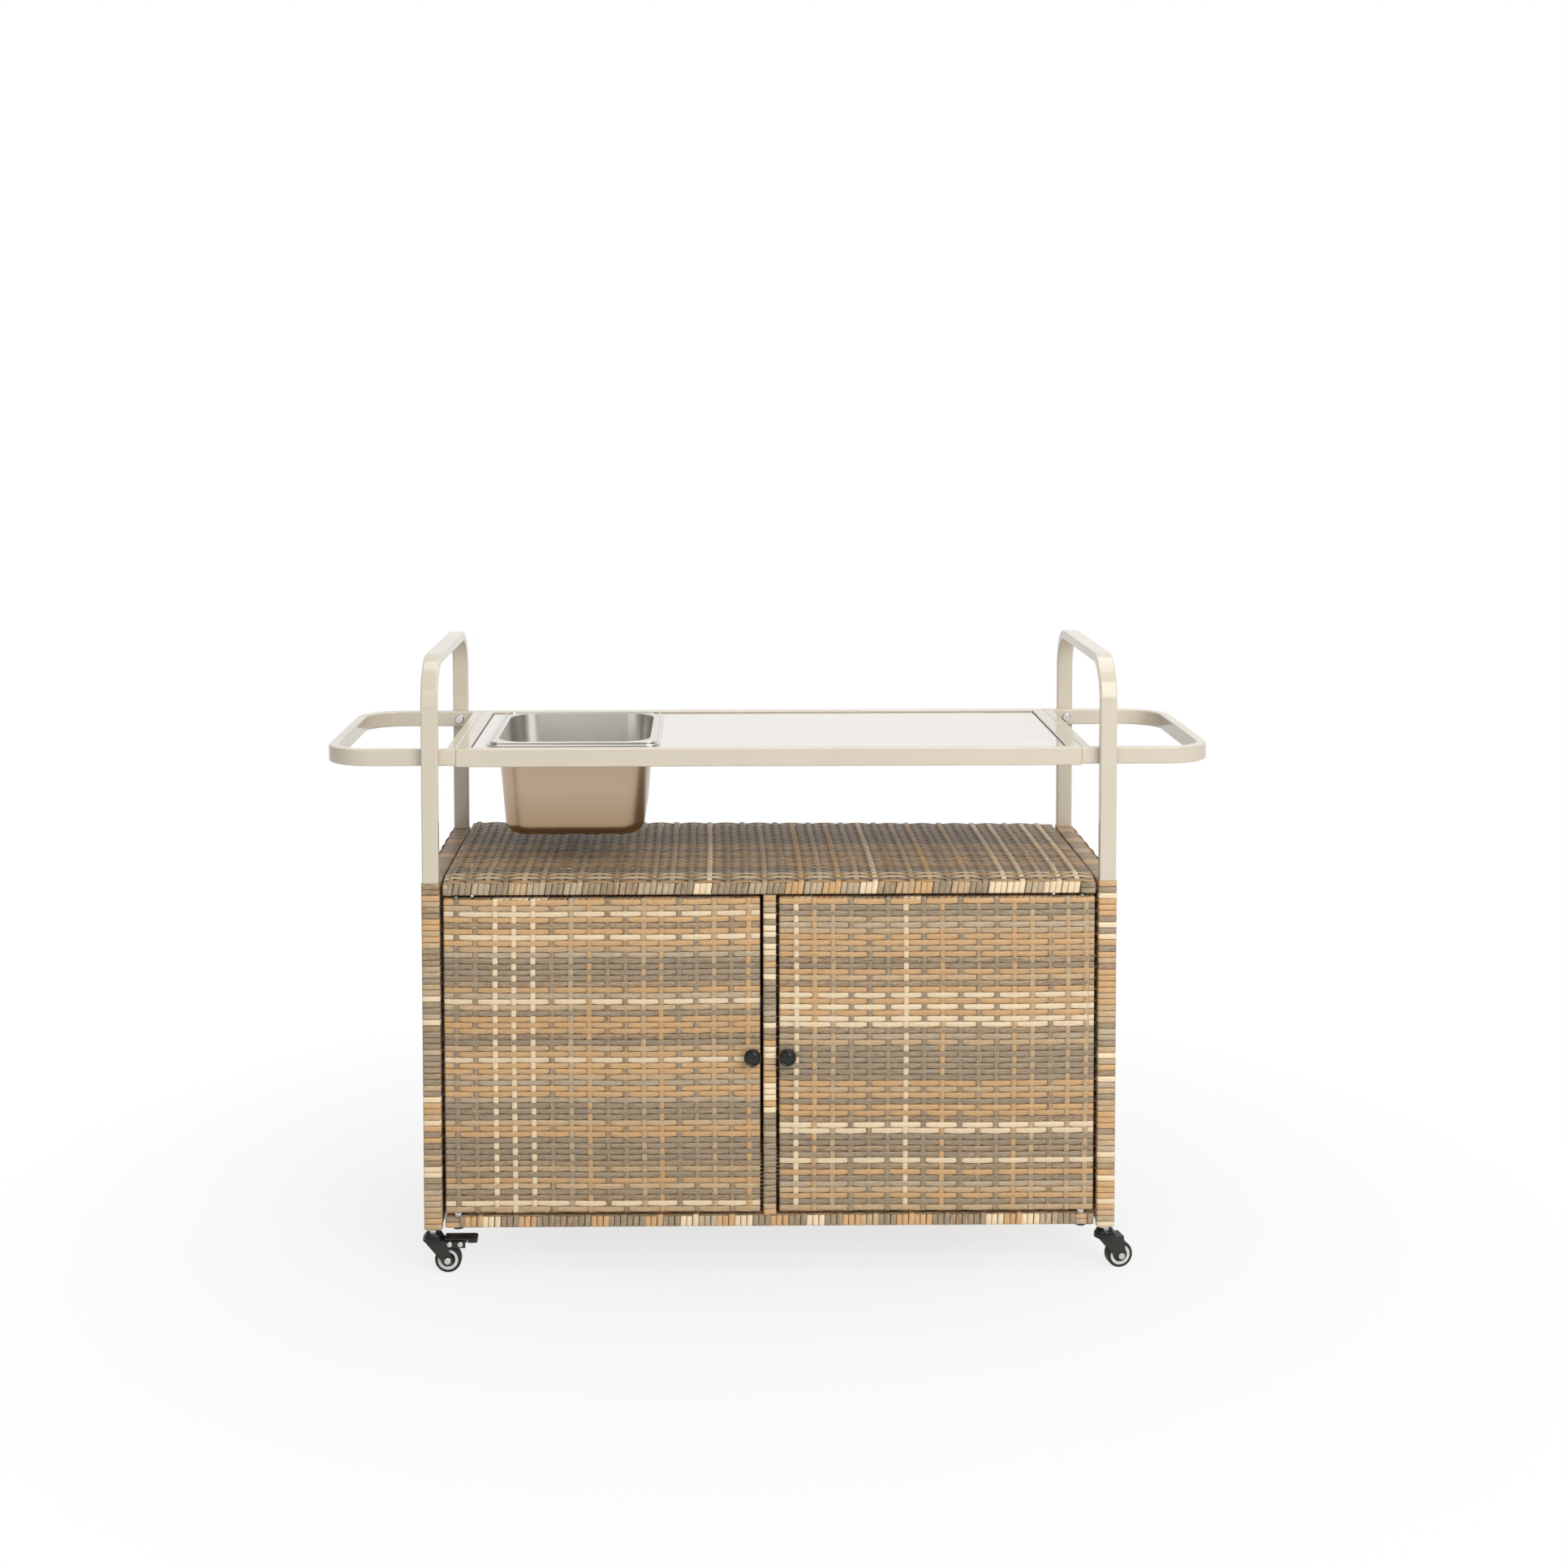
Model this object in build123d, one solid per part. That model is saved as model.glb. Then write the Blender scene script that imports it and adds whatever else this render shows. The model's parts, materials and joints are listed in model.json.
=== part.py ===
from build123d import *
import os

# Outdoor bar cart, in mm. X runs along the cart, -Y is the door side, +Z is up from the floor.
# The origin is on the floor, at the middle of the cabinet's plan.

# Overall sizes
cabinet_width = 1040.0  # across the bare posts
cabinet_depth = 440.0  # across the bare posts
arch_height = 930.0  # top of the grip bars
table_height = 792.0  # top of the table frame
shelf_height = 592.0  # top of the woven shelf
caster_height = 65.0  # floor to the feet of the posts
handle_reach = 150.0  # how far a handle loop stands out past the posts

# Posts, arches and rails of the two side frames
post_wide = 25.0
post_thin = 15.0
arch_bend = 62.5  # radius of the tube's centre line
side_rail_high = 15.0
tube_wall = 1.2
tube_round = 2.5  # outer corner of a tube's section

# Panel frames of square tube, and the flat wicker on them
panel_tube = 15.0
shelf_bars = 2  # cross bars under the shelf and under the cabinet floor
back_bars = 1  # uprights behind the back's wicker
drain_radius = 3.0
wrap = 1.5  # wicker wound round a tube
sheet = 3.0  # woven wicker between the tubes
wicker_round = 3.0
panel_gap = 4.0  # between a wrapped post and the end of a panel
floor_lift = 3.0  # cabinet floor panel above the feet of the posts

# Doors and their pivots
door_side_gap = 5.0
door_centre_gap = 5.0
door_top_gap = 4.0
door_bottom_gap = 5.0
pivot_inset = 18.5  # pivot axis from the outer edge of the door
pivot_radius = 4.0
pivot_clearance = 0.05
pivot_depth = 14.0  # how deep a pin goes into its bush
bush_radius = 6.0
bush_flange_radius = 8.0
bush_flange = 1.5
bush_end = 1.0  # closed end of a bush, beyond the pin
washer_thick = 1.2
washer_clearance = 0.3
collar_radius = 7.0
collar_gap = 0.3
knob_radius = 13.3
knob_reach = 20.0
knob_neck_radius = 5.0
knob_foot_radius = 7.0
knob_foot = 1.5
knob_neck_end = 6.5  # height where the neck starts to widen into the rim
knob_rim_radius = 11.2  # where the rim's round edge meets its two sides
knob_rim_low = 9.0
knob_rim_high = 18.0
knob_crown_radius = 6.0
knob_off_middle = 3.0  # knob from the middle of the door's side tube, away from the centre post
screw_radius = 2.0
screw_head_radius = 4.0
screw_head = 1.6
screw_bite = 11.0  # screw inside the knob
catch_wide = 70.0
catch_thin = 13.0
catch_high = 26.0
catch_raise = 60.0  # catch above the knobs
catch_gap = 0.3

# Table frame, ledge, soft strip and glass
rail_wide = 20.0
rail_high = 27.0
rail_round = 2.0
glass_thick = 5.0
glass_recess = 3.0
glass_gap = 1.5
glass_edge = 0.8
glass_corner = 4.0
strip_thick = 1.0
ledge_wide = 12.0
ledge_thick = 3.0

# Handle loops
handle_high = 25.0
handle_thin = 15.0
handle_bend = 62.5  # radius of the tube's centre line
crossbar_gap = 10.0  # cross bar to the inner face of a post

# Pan
pan_rim_x = 265.0
pan_rim_corner = 22.0
pan_rim_high = 7.5  # from the glass to the top of the rim
pan_ledge = 5.0  # width of the rim's lower step
pan_ledge_high = 3.5
pan_lip = 3.0  # width of a step's rolled edge
pan_bead = 3.0  # raised edge of the rim
pan_step = 1.2  # drop from the raised edge to the flange
pan_depth = 148.5
pan_wall = 1.0
pan_flange = 15.0  # rim width, from its outer edge to the mouth
pan_taper = 12.0  # how much each wall comes in towards the floor
pan_corner = 45.0
pan_floor_round = 20.0
pan_end_margin = 20.5  # rim to the end rail of the table
pan_front_margin = 14.5  # rim to the front rail of the table
pan_back_margin = 30.5  # rim to the rear rail of the table
pan_cut_gap = 4.0  # glass around the pan's walls

# Bolts
bolt_radius = 3.0
bolt_hole_gap = 0.3
bolt_head_radius = 7.0
bolt_head = 3.8
bolt_socket_radius = 2.9
bolt_socket_depth = 2.1
bolt_bite = 10.0  # thread beyond the face of the piece that it holds to
panel_bolt_inset = 100.0  # bolts of the shelf and floor from the front and rear faces
back_bolt_inset = 120.0  # bolts of the back panel from its top and bottom edges
table_bolt_inset = 105.0  # bolts of the table from its front and rear faces

# Casters
caster_trail = 22.0  # axle behind the stem
wheel_radius = 20.0
wheel_width = 17.0
tyre_thick = 4.5
tyre_round = 3.0
core_face_in = 1.0  # core's rim below the tyre's side faces
core_ring = 4.5  # pale ring of the core
core_web = 6.0
hub_radius = 7.0
axle_radius = 3.0
axle_clearance = 0.05
axle_head_radius = 5.5
axle_head = 3.5
fork_side_gap = 1.5  # wheel to the fork's plates
fork_plate = 2.0
fork_head_radius = 16.5
fork_tail = 26.0  # end of a plain fork's top plate
fork_nose = 13.5  # start of the side plates, ahead of the stem
fork_lobe = 8.0  # side plate round the axle
hub_end_gap = 0.3
swivel_gap = 0.5
stem_radius = 4.0
stem_bite = 18.0  # thread inside the post's plug
neck_radius = 5.0
neck_clearance = 0.08
stem_head_radius = 7.5
stem_head = 2.5
stem_head_gap = 0.3
cup_radius = 14.0
cup_base_radius = 16.0
cup_high = 9.0
cup_base_high = 3.6
cup_round = 3.15
nut_high = 5.5
nut_flats = 13.0
plug_high = 25.0

# Brake on a caster
brake_arm_end = 48.5  # end of the arm on a braked fork's side plates
brake_arm_low = 39.0
brake_arm_high = 49.0
rivet_height = 45.0
stop_rivet_x = 25.0
pedal_rivet_x = 41.0
rivet_radius = 2.0
rivet_clearance = 0.06
rivet_head_radius = 4.2
rivet_head = 2.5
rivet_head_round = 1.5
pedal_start = 17.5
pedal_end = 66.5
pedal_top = 53.5
pedal_plate = 2.2
pedal_corner = 4.0
pedal_tab = 15.0  # hollow tab for the toe at the pedal's end
pedal_tab_high = 6.5
pedal_ear = 2.4
pedal_ear_gap = 1.0
pedal_ear_radius = 5.0

# Heading of each caster's trail, from +X towards +Y, as the cart was last rolled
casters = {
    "front_left": (-1, -1, 0.0, True),
    "front_right": (1, -1, 12.0, False),
    "rear_left": (-1, 1, 12.0, True),
    "rear_right": (1, 1, 50.0, False),
}

# Places worked out from the sizes above
half_w = cabinet_width / 2
half_d = cabinet_depth / 2
post_x = half_w - post_wide / 2
post_y = half_d - post_thin / 2
inside_x = half_w - post_wide
inside_y = half_d - post_thin
foot = caster_height
panel_thick = panel_tube + 2 * wrap
panel_half_x = inside_x - wrap - panel_gap
shelf_low = shelf_height - panel_thick
floor_low = foot + floor_lift
floor_top = floor_low + panel_thick
shelf_mid = shelf_height - panel_thick / 2
floor_mid = floor_low + panel_thick / 2
wrap_top = shelf_height + wrap / 2
post_half = panel_tube / 2 + wrap  # wrapped centre post
door_in = post_half + door_centre_gap
door_out = inside_x - wrap - door_side_gap
door_wide = door_out - door_in
door_low = floor_top + door_bottom_gap
door_top = shelf_low - door_top_gap
door_high = door_top - door_low
door_back = -post_y + panel_thick / 2
pivot_x = door_out - pivot_inset
knob_x = door_in + wrap + panel_tube / 2 + knob_off_middle
knob_z = (door_low + door_top) / 2
table_half_x = inside_x - crossbar_gap - handle_thin
table_half_y = inside_y
glass_top = table_height - glass_recess
glass_low = glass_top - glass_thick
strip_low = glass_low - strip_thick
handle_mid = table_height - handle_high / 2
pan_x = -(table_half_x - rail_wide) + pan_end_margin + pan_rim_x / 2
pan_rim_y = 2 * (table_half_y - rail_wide) - pan_front_margin - pan_back_margin
pan_y = -(table_half_y - rail_wide) + pan_front_margin + pan_rim_y / 2
pan_top = glass_top + pan_rim_high
mouth_x = pan_rim_x - 2 * pan_flange
mouth_y = pan_rim_y - 2 * pan_flange
cup_low = caster_height - nut_high - cup_high
fork_top = cup_low - swivel_gap
plate_in = wheel_width / 2 + fork_side_gap
plate_out = plate_in + fork_plate

parts = {}


def keep(name, *solids):
    """Store a node made of one or more separate solids."""
    pieces = [s for item in solids for s in item.solids()]
    parts[name] = pieces


def block(x0, x1, y0, y1, z0, z1):
    """Box between two corners."""
    return Pos((x0 + x1) / 2, (y0 + y1) / 2, (z0 + z1) / 2) * Box(abs(x1 - x0), abs(y1 - y0), abs(z1 - z0))


def rod(start, direction, length, radius):
    """Cylinder from a point along a direction."""
    return extrude(Plane(origin=start, z_dir=direction) * Circle(radius), amount=length)


def section(wide, thin, inset=0.0):
    """Rounded outline of a rectangular tube, or of its bore when inset by the wall."""
    return RectangleRounded(wide - 2 * inset, thin - 2 * inset, tube_round - inset)


def bent_tube(points, bend, across, wide, thin):
    """Rectangular tube swept along straight runs and round bends, open at both ends."""
    route = FilletPolyline(*points, radius=bend)
    start = Plane(origin=route @ 0, x_dir=across, z_dir=route % 0)
    outer = sweep(start * section(wide, thin), path=route)
    bore = sweep(start * section(wide, thin, tube_wall), path=route)
    return outer - bore


def straight_tube(start, direction, across, length, wide, thin):
    """Straight rectangular tube, open at both ends."""
    plane = Plane(origin=start, x_dir=across, z_dir=direction)
    return extrude(plane * (section(wide, thin) - section(wide, thin, tube_wall)), amount=length)


def lattice(wide, high, bars, inset=0.0):
    """Rails and cross bars of a panel frame lying in XY, each face set in by inset."""
    side = panel_tube - 2 * inset
    frame = Box(wide - 2 * inset, high - 2 * inset, side)
    frame -= Box(wide - 2 * panel_tube + 2 * inset, high - 2 * panel_tube + 2 * inset, panel_tube)
    for i in range(bars):
        x = wide * ((i + 1) / (bars + 1) - 0.5)
        frame += Pos(x, 0, 0) * Box(side, high - 2 * panel_tube + 4 * inset, side)
    return frame


def panel_frame(wide, high, bars):
    """Welded frame of square tube with one drain hole in its lower face."""
    drain = rod((wide / 2 - panel_tube / 2, 0, -panel_tube), (0, 0, 1), panel_tube, drain_radius)
    return lattice(wide, high, bars) - lattice(wide, high, bars, tube_wall) - drain


def panel_skin(wide, high, bars):
    """Wicker of a panel: sleeves round the frame's rails and one sheet across the +Z side."""
    thick = panel_tube + 2 * wrap
    skin = Box(wide + 2 * wrap, high + 2 * wrap, thick)
    skin = fillet(skin.edges(), wicker_round)
    open_x = wide / 2 - panel_tube - wrap
    open_y = high / 2 - panel_tube - wrap
    skin -= block(-open_x, open_x, -open_y, open_y, -thick, thick / 2 - sheet)
    return skin - lattice(wide, high, bars)


def bolt(start, direction, length):
    """Button head bolt whose head sits on a face at start, with a hexagon socket."""
    seat = Plane(origin=start, z_dir=direction)
    crown = seat.offset(-bolt_head)
    head = extrude(seat * Circle(bolt_head_radius), amount=-bolt_head)
    head = fillet(head.edges().group_by(lambda e: abs(crown.to_local_coords(e.center()).Z))[0], bolt_head / 2)
    socket = extrude(crown * RegularPolygon(bolt_socket_radius, 6), amount=bolt_socket_depth)
    return head + rod(start, direction, length, bolt_radius) - socket


# Bolts that pull the shelf, floor and back panels to the side frames
panel_bolt_length = wrap + post_wide + wrap + panel_gap + wrap + bolt_bite
panel_bolt_seats = []
for side in (-1, 1):
    x = side * (half_w + wrap)
    inward = (-side, 0, 0)
    for y in (-half_d + panel_bolt_inset, half_d - panel_bolt_inset):
        panel_bolt_seats.append(((x, y, shelf_mid), inward))
        panel_bolt_seats.append(((x, y, floor_mid), inward))
    for z in (floor_top + back_bolt_inset, shelf_low - back_bolt_inset):
        panel_bolt_seats.append(((x, post_y, z), inward))


def panel_bolt_cut(radius):
    """Holes for all the panel bolts."""
    return [rod(start, inward, panel_bolt_length, radius) for start, inward in panel_bolt_seats]


wide_holes = panel_bolt_cut(bolt_radius + bolt_hole_gap)
threads = panel_bolt_cut(bolt_radius)
keep("panel_bolts", *[bolt(start, inward, panel_bolt_length) for start, inward in panel_bolt_seats])

# Bolts through the handle legs into the posts, and through the cross bars into the table
handle_bolts = []
handle_wide_holes = []
handle_threads = []
for side in (-1, 1):
    for face in (-1, 1):
        start = (side * post_x, face * (inside_y - handle_thin), handle_mid)
        handle_bolts.append(bolt(start, (0, face, 0), handle_thin + bolt_bite))
        handle_wide_holes.append(rod(start, (0, face, 0), handle_thin, bolt_radius + bolt_hole_gap))
        handle_threads.append(rod(start, (0, face, 0), handle_thin + bolt_bite, bolt_radius))
        start = (side * (table_half_x + handle_thin), face * (half_d - table_bolt_inset), handle_mid)
        handle_bolts.append(bolt(start, (-side, 0, 0), handle_thin + bolt_bite))
        handle_wide_holes.append(rod(start, (-side, 0, 0), handle_thin, bolt_radius + bolt_hole_gap))
        handle_threads.append(rod(start, (-side, 0, 0), handle_thin + bolt_bite, bolt_radius))
keep("handle_bolts", *handle_bolts)

# Side frames: arches, rails, plugs in the feet, wicker on the posts and between them
upper_rail_mid = shelf_height - wrap - side_rail_high / 2
lower_rail_mid = floor_low + wrap + side_rail_high / 2
rail_bars = []
rail_cores = []
plugs = []
wraps = []
for side, name in ((-1, "left"), (1, "right")):
    x = side * post_x
    top = arch_height - post_thin / 2
    points = [(x, -post_y, foot), (x, -post_y, top), (x, post_y, top), (x, post_y, foot)]
    arch = bent_tube(points, arch_bend, (1, 0, 0), post_wide, post_thin)
    keep(name + "_arch", arch - handle_threads - wide_holes)
    cores = []
    for z in (upper_rail_mid, lower_rail_mid):
        start = Plane(origin=(x, -inside_y, z), x_dir=(1, 0, 0), z_dir=(0, 1, 0))
        core = extrude(start * section(post_wide, side_rail_high), amount=2 * inside_y)
        bore = extrude(start * section(post_wide, side_rail_high, tube_wall), amount=2 * inside_y)
        rail_bars.append(core - bore - wide_holes)
        cores.append(core)
    rail_cores += cores
    skin_low = lower_rail_mid - side_rail_high / 2 - wrap
    skin_end = inside_y - wrap
    outer = side * (half_w + wrap)
    skin = block(outer, side * (inside_x - wrap), -skin_end, skin_end, skin_low, shelf_height)
    skin = fillet(skin.edges().filter_by(Axis.Y), wicker_round)
    open_low = lower_rail_mid + side_rail_high / 2 + wrap
    open_top = upper_rail_mid - side_rail_high / 2 - wrap
    skin -= block(outer - side * sheet, 0, -skin_end, skin_end, open_low, open_top)
    keep(name + "_side_weave", skin - cores - wide_holes)
keep("side_rails", *rail_bars)

for side in (-1, 1):
    for face in (-1, 1):
        at = Pos(side * post_x, face * post_y, foot)
        plug = extrude(section(post_wide, post_thin, tube_wall), amount=plug_high)
        plugs.append(at * (plug - rod((0, 0, 0), (0, 0, 1), plug_high, stem_radius)))
        sleeve = RectangleRounded(post_wide + 2 * wrap, post_thin + 2 * wrap, tube_round + wrap)
        sleeve = at * extrude(sleeve - section(post_wide, post_thin), amount=wrap_top - foot)
        wraps.append(sleeve - rail_cores - wide_holes)
keep("post_plugs", *plugs)
keep("post_wraps", *wraps)

# Pivot bushes in the floor's front rail and in the shelf's front rail, and the washers under the doors
pivot_bore = pivot_radius + pivot_clearance
bushes = []
bush_holes = []
washers = []
for side in (-1, 1):
    at = Pos(side * pivot_x, -post_y, 0)
    flange = rod((0, 0, floor_low - bush_flange), (0, 0, 1), bush_flange, bush_flange_radius)
    barrel = rod((0, 0, floor_low), (0, 0, 1), panel_thick, bush_radius)
    bore_low = floor_top - pivot_depth - bush_end
    bore = rod((0, 0, bore_low), (0, 0, 1), floor_top - bore_low, pivot_bore)
    bushes.append(at * (flange + barrel - bore))
    bush_holes.append(at * barrel)
    flange = rod((0, 0, shelf_low - bush_flange), (0, 0, 1), bush_flange, bush_flange_radius)
    barrel = rod((0, 0, shelf_low), (0, 0, 1), pivot_depth, bush_radius)
    bore_low = shelf_low - bush_flange
    bore = rod((0, 0, bore_low), (0, 0, 1), pivot_depth + bush_flange - bush_end, pivot_bore)
    bushes.append(at * (flange + barrel - bore))
    bush_holes.append(at * barrel)
    washer = rod((0, 0, floor_top), (0, 0, 1), washer_thick, bush_flange_radius)
    hole = rod((0, 0, floor_top), (0, 0, 1), washer_thick, pivot_radius + washer_clearance)
    washers.append(at * (washer - hole))
keep("pivot_bushes", *bushes)
keep("pivot_washers", *washers)


def centre_block(half, low, high):
    """Upright square block on the axis of the centre post."""
    return block(-half, half, -post_y - half, -post_y + half, low, high)


# Centre post between the doors, welded between the floor frame and the shelf frame
post_low = floor_top - wrap
post_high = shelf_low + wrap
centre_core = centre_block(panel_tube / 2, post_low, post_high)
keep("centre_post", centre_core - centre_block(panel_tube / 2 - tube_wall, post_low, post_high))
sleeve = centre_block(post_half, floor_top, shelf_low)
sleeve = fillet(sleeve.edges().filter_by(Axis.Z), wicker_round)
keep("centre_post_wrap", sleeve - centre_core)

# Shelf, cabinet floor and back panel
flat_wide = 2 * (panel_half_x - wrap)
flat_cuts = threads + bush_holes
for name, mid in (("shelf", shelf_mid), ("floor", floor_mid)):
    at = Pos(0, 0, mid)
    keep(name + "_frame", at * panel_frame(flat_wide, cabinet_depth, shelf_bars) - flat_cuts)
    keep(name + "_weave", at * panel_skin(flat_wide, cabinet_depth, shelf_bars) - flat_cuts - centre_core)
back_high = shelf_low - floor_top - 2 * wrap
at = Pos(0, post_y, (shelf_low + floor_top) / 2) * Rot(-90, 0, 0)
keep("back_frame", at * panel_frame(flat_wide, back_high, back_bars) - threads)
keep("back_weave", at * panel_skin(flat_wide, back_high, back_bars) - threads)

# Magnetic catch behind the doors, on the centre post
catch_low = knob_z + catch_raise
catch_top = catch_low + catch_high
catch_back = door_back + catch_thin
catch = block(-catch_wide / 2, catch_wide / 2, door_back + catch_gap, catch_back, catch_low, catch_top)
catch += block(-panel_tube / 2, panel_tube / 2, door_back, catch_back, catch_low, catch_top)
keep("door_catch", catch)


def knob_profile():
    """Half section of a knob, from its foot on the door (y = 0) to its crown, about the line x = 0."""
    crown = (knob_crown_radius, knob_reach)
    rim_foot = (knob_rim_radius, knob_rim_low)
    rim_edge = (knob_radius, (knob_rim_low + knob_rim_high) / 2)
    rim_top = (knob_rim_radius, knob_rim_high)
    edge = Polyline(
        crown,
        (0, knob_reach),
        (0, 0),
        (knob_foot_radius, 0),
        (knob_foot_radius, knob_foot),
        (knob_neck_radius, knob_foot + knob_foot_radius - knob_neck_radius),
        (knob_neck_radius, knob_neck_end),
        rim_foot,
    )
    return make_face(edge + ThreePointArc(rim_foot, rim_edge, rim_top) + Line(rim_top, crown))


# Doors: frame, wicker, pivot pins, knob and its screw
for side, name in ((-1, "left_door"), (1, "right_door")):
    wide = door_wide - 2 * wrap
    high = door_high - 2 * wrap
    at = Pos(side * (door_in + door_out) / 2, -post_y, (door_low + door_top) / 2) * Rot(90, 0, 0)
    pin_start = floor_top - pivot_depth
    pin_end = door_low + wrap + panel_tube - tube_wall
    low_pin = rod((side * pivot_x, -post_y, pin_start), (0, 0, 1), pin_end - pin_start, pivot_radius)
    collar_low = floor_top + washer_thick + collar_gap
    collar = rod((side * pivot_x, -post_y, collar_low), (0, 0, 1), door_low - collar_low, collar_radius)
    pin_start = door_top - wrap - panel_tube + tube_wall
    pin_end = shelf_low + pivot_depth - 2 * bush_end
    top_pin = rod((side * pivot_x, -post_y, pin_start), (0, 0, 1), pin_end - pin_start, pivot_radius)
    keep(name + "_pivot_pins", low_pin + collar, top_pin)
    face = -post_y - panel_thick / 2
    knob_seat = Plane(origin=(side * knob_x, face, knob_z), z_dir=(0, -1, 0))
    screw_start = (side * knob_x, door_back, knob_z)
    shank = rod(screw_start, (0, -1, 0), panel_thick + screw_bite, screw_radius)
    head = rod(screw_start, (0, 1, 0), screw_head, screw_head_radius)
    keep(name + "_knob_screw", shank + head)
    cuts = [low_pin, top_pin, shank]
    keep(name + "_frame", at * panel_frame(wide, high, 0) - cuts)
    keep(name + "_weave", at * panel_skin(wide, high, 0) - cuts)
    knob = revolve(Plane.XZ * knob_profile(), axis=Axis.Z)
    keep(name + "_knob", knob_seat.location * knob - shank)

# Table: hollow frame with an inner ledge, a soft strip on the ledge, and the glass with the pan's cut-out
frame_low = table_height - rail_high


def table_ring(inset, depth):
    """Four rails of the table as one ring, each face set in by inset."""
    x = table_half_x - inset
    y = table_half_y - inset
    inner_x = table_half_x - rail_wide + inset
    inner_y = table_half_y - rail_wide + inset
    ring = block(-x, x, -y, y, frame_low + inset, table_height - inset)
    return ring - block(-inner_x, inner_x, -inner_y, inner_y, frame_low - depth, table_height + depth)


def inner_ring(reach, low, high, gap=0.0):
    """Ring that stands in from the rails' inner faces."""
    x = table_half_x - rail_wide - gap
    y = table_half_y - rail_wide - gap
    return block(-x, x, -y, y, low, high) - block(-x + reach, x - reach, -y + reach, y - reach, low, high)


rails = table_ring(0.0, rail_high)
rails = fillet(rails.edges(), rail_round)
ledge = inner_ring(ledge_wide, strip_low - ledge_thick, strip_low)
drain = rod((0, table_half_y - rail_wide / 2, frame_low - tube_wall), (0, 0, 1), rail_high / 2, drain_radius)
keep("table_frame", rails + ledge - table_ring(tube_wall, rail_high) - drain - handle_threads)
keep("glass_strip", inner_ring(ledge_wide - glass_gap, strip_low, glass_low, glass_gap))
pane_x = 2 * (table_half_x - rail_wide - glass_gap)
pane_y = 2 * (table_half_y - rail_wide - glass_gap)
cut_x = mouth_x + 2 * pan_cut_gap
cut_y = mouth_y + 2 * pan_cut_gap
pane = RectangleRounded(pane_x, pane_y, glass_corner)
pane -= Pos(pan_x, pan_y) * RectangleRounded(cut_x, cut_y, pan_corner + pan_cut_gap)
glass = Pos(0, 0, glass_low) * extrude(pane, amount=glass_thick)
glass = fillet(glass.edges().group_by(Axis.Z)[-1], glass_edge)
keep("glass_top", glass)

# Handle loops and their cross bars
crossbars = []
for side, name in ((-1, "left"), (1, "right")):
    leg_y = inside_y - handle_thin / 2
    end_x = side * (half_w + handle_reach - handle_thin / 2)
    start_x = side * table_half_x
    points = [
        (start_x, -leg_y, handle_mid),
        (end_x, -leg_y, handle_mid),
        (end_x, leg_y, handle_mid),
        (start_x, leg_y, handle_mid),
    ]
    loop = bent_tube(points, handle_bend, (0, 0, 1), handle_high, handle_thin)
    keep(name + "_handle", loop - handle_wide_holes)
    bar_end = inside_y - handle_thin
    start = (side * (table_half_x + handle_thin / 2), -bar_end, handle_mid)
    bar = straight_tube(start, (0, 1, 0), (0, 0, 1), 2 * bar_end, handle_high, handle_thin)
    crossbars.append(bar - handle_wide_holes)
keep("handle_crossbars", *crossbars)


def pan_shape(inset):
    """Tapered tub of the pan, or its inside when inset by the wall."""
    low = pan_top - pan_depth + inset
    foot_x = mouth_x - 2 * pan_taper - 2 * inset
    foot_y = mouth_y - 2 * pan_taper - 2 * inset
    bottom = Pos(0, 0, low) * RectangleRounded(foot_x, foot_y, pan_corner - pan_taper / 2 - inset)
    mouth = RectangleRounded(mouth_x - 2 * inset, mouth_y - 2 * inset, pan_corner - inset)
    tub = loft([bottom, Pos(0, 0, pan_top) * mouth], ruled=True)
    return fillet(tub.edges().group_by(Axis.Z)[0], pan_floor_round - inset)


def rim_block(inset, low, high):
    """Block in the rim's outline, set in from its outer edge."""
    outline = RectangleRounded(pan_rim_x - 2 * inset, pan_rim_y - 2 * inset, pan_rim_corner - inset)
    return Pos(0, 0, low) * extrude(outline, amount=high - low)


def rim_step(inset, high):
    """One step of the rim, solid, with a rounded upper edge."""
    step = rim_block(inset, glass_top, high)
    return fillet(step.edges().group_by(Axis.Z)[-1], pan_lip / 2)


# Pan: tub, and a rim of two hollow steps with a raised edge round a flat flange
ledge_top = glass_top + pan_ledge_high
flange_top = pan_top - pan_step
rim = rim_step(0.0, ledge_top) + rim_step(pan_ledge, pan_top)
rim -= rim_block(pan_lip, glass_top, ledge_top - pan_wall)
rim -= rim_block(pan_ledge + pan_lip, glass_top, flange_top - pan_wall)
rim -= rim_block(pan_ledge + pan_bead, flange_top, pan_top)
tub = pan_shape(0.0) - rim_block(0.0, flange_top, pan_top)
keep("pan", Pos(pan_x, pan_y, 0) * (rim + tub - pan_shape(pan_wall)))


def side_plate(outline):
    """The two side plates of a fork, from one outline in XZ."""
    near = extrude(Plane.XZ.offset(plate_in) * outline, amount=fork_plate)
    far = extrude(Plane.XZ.offset(-plate_out) * outline, amount=fork_plate)
    return near + far


def across(x, z, radius, reach):
    """Rod along Y through a fork, centred on it."""
    return rod((x, -reach, z), (0, 1, 0), 2 * reach, radius)


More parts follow.
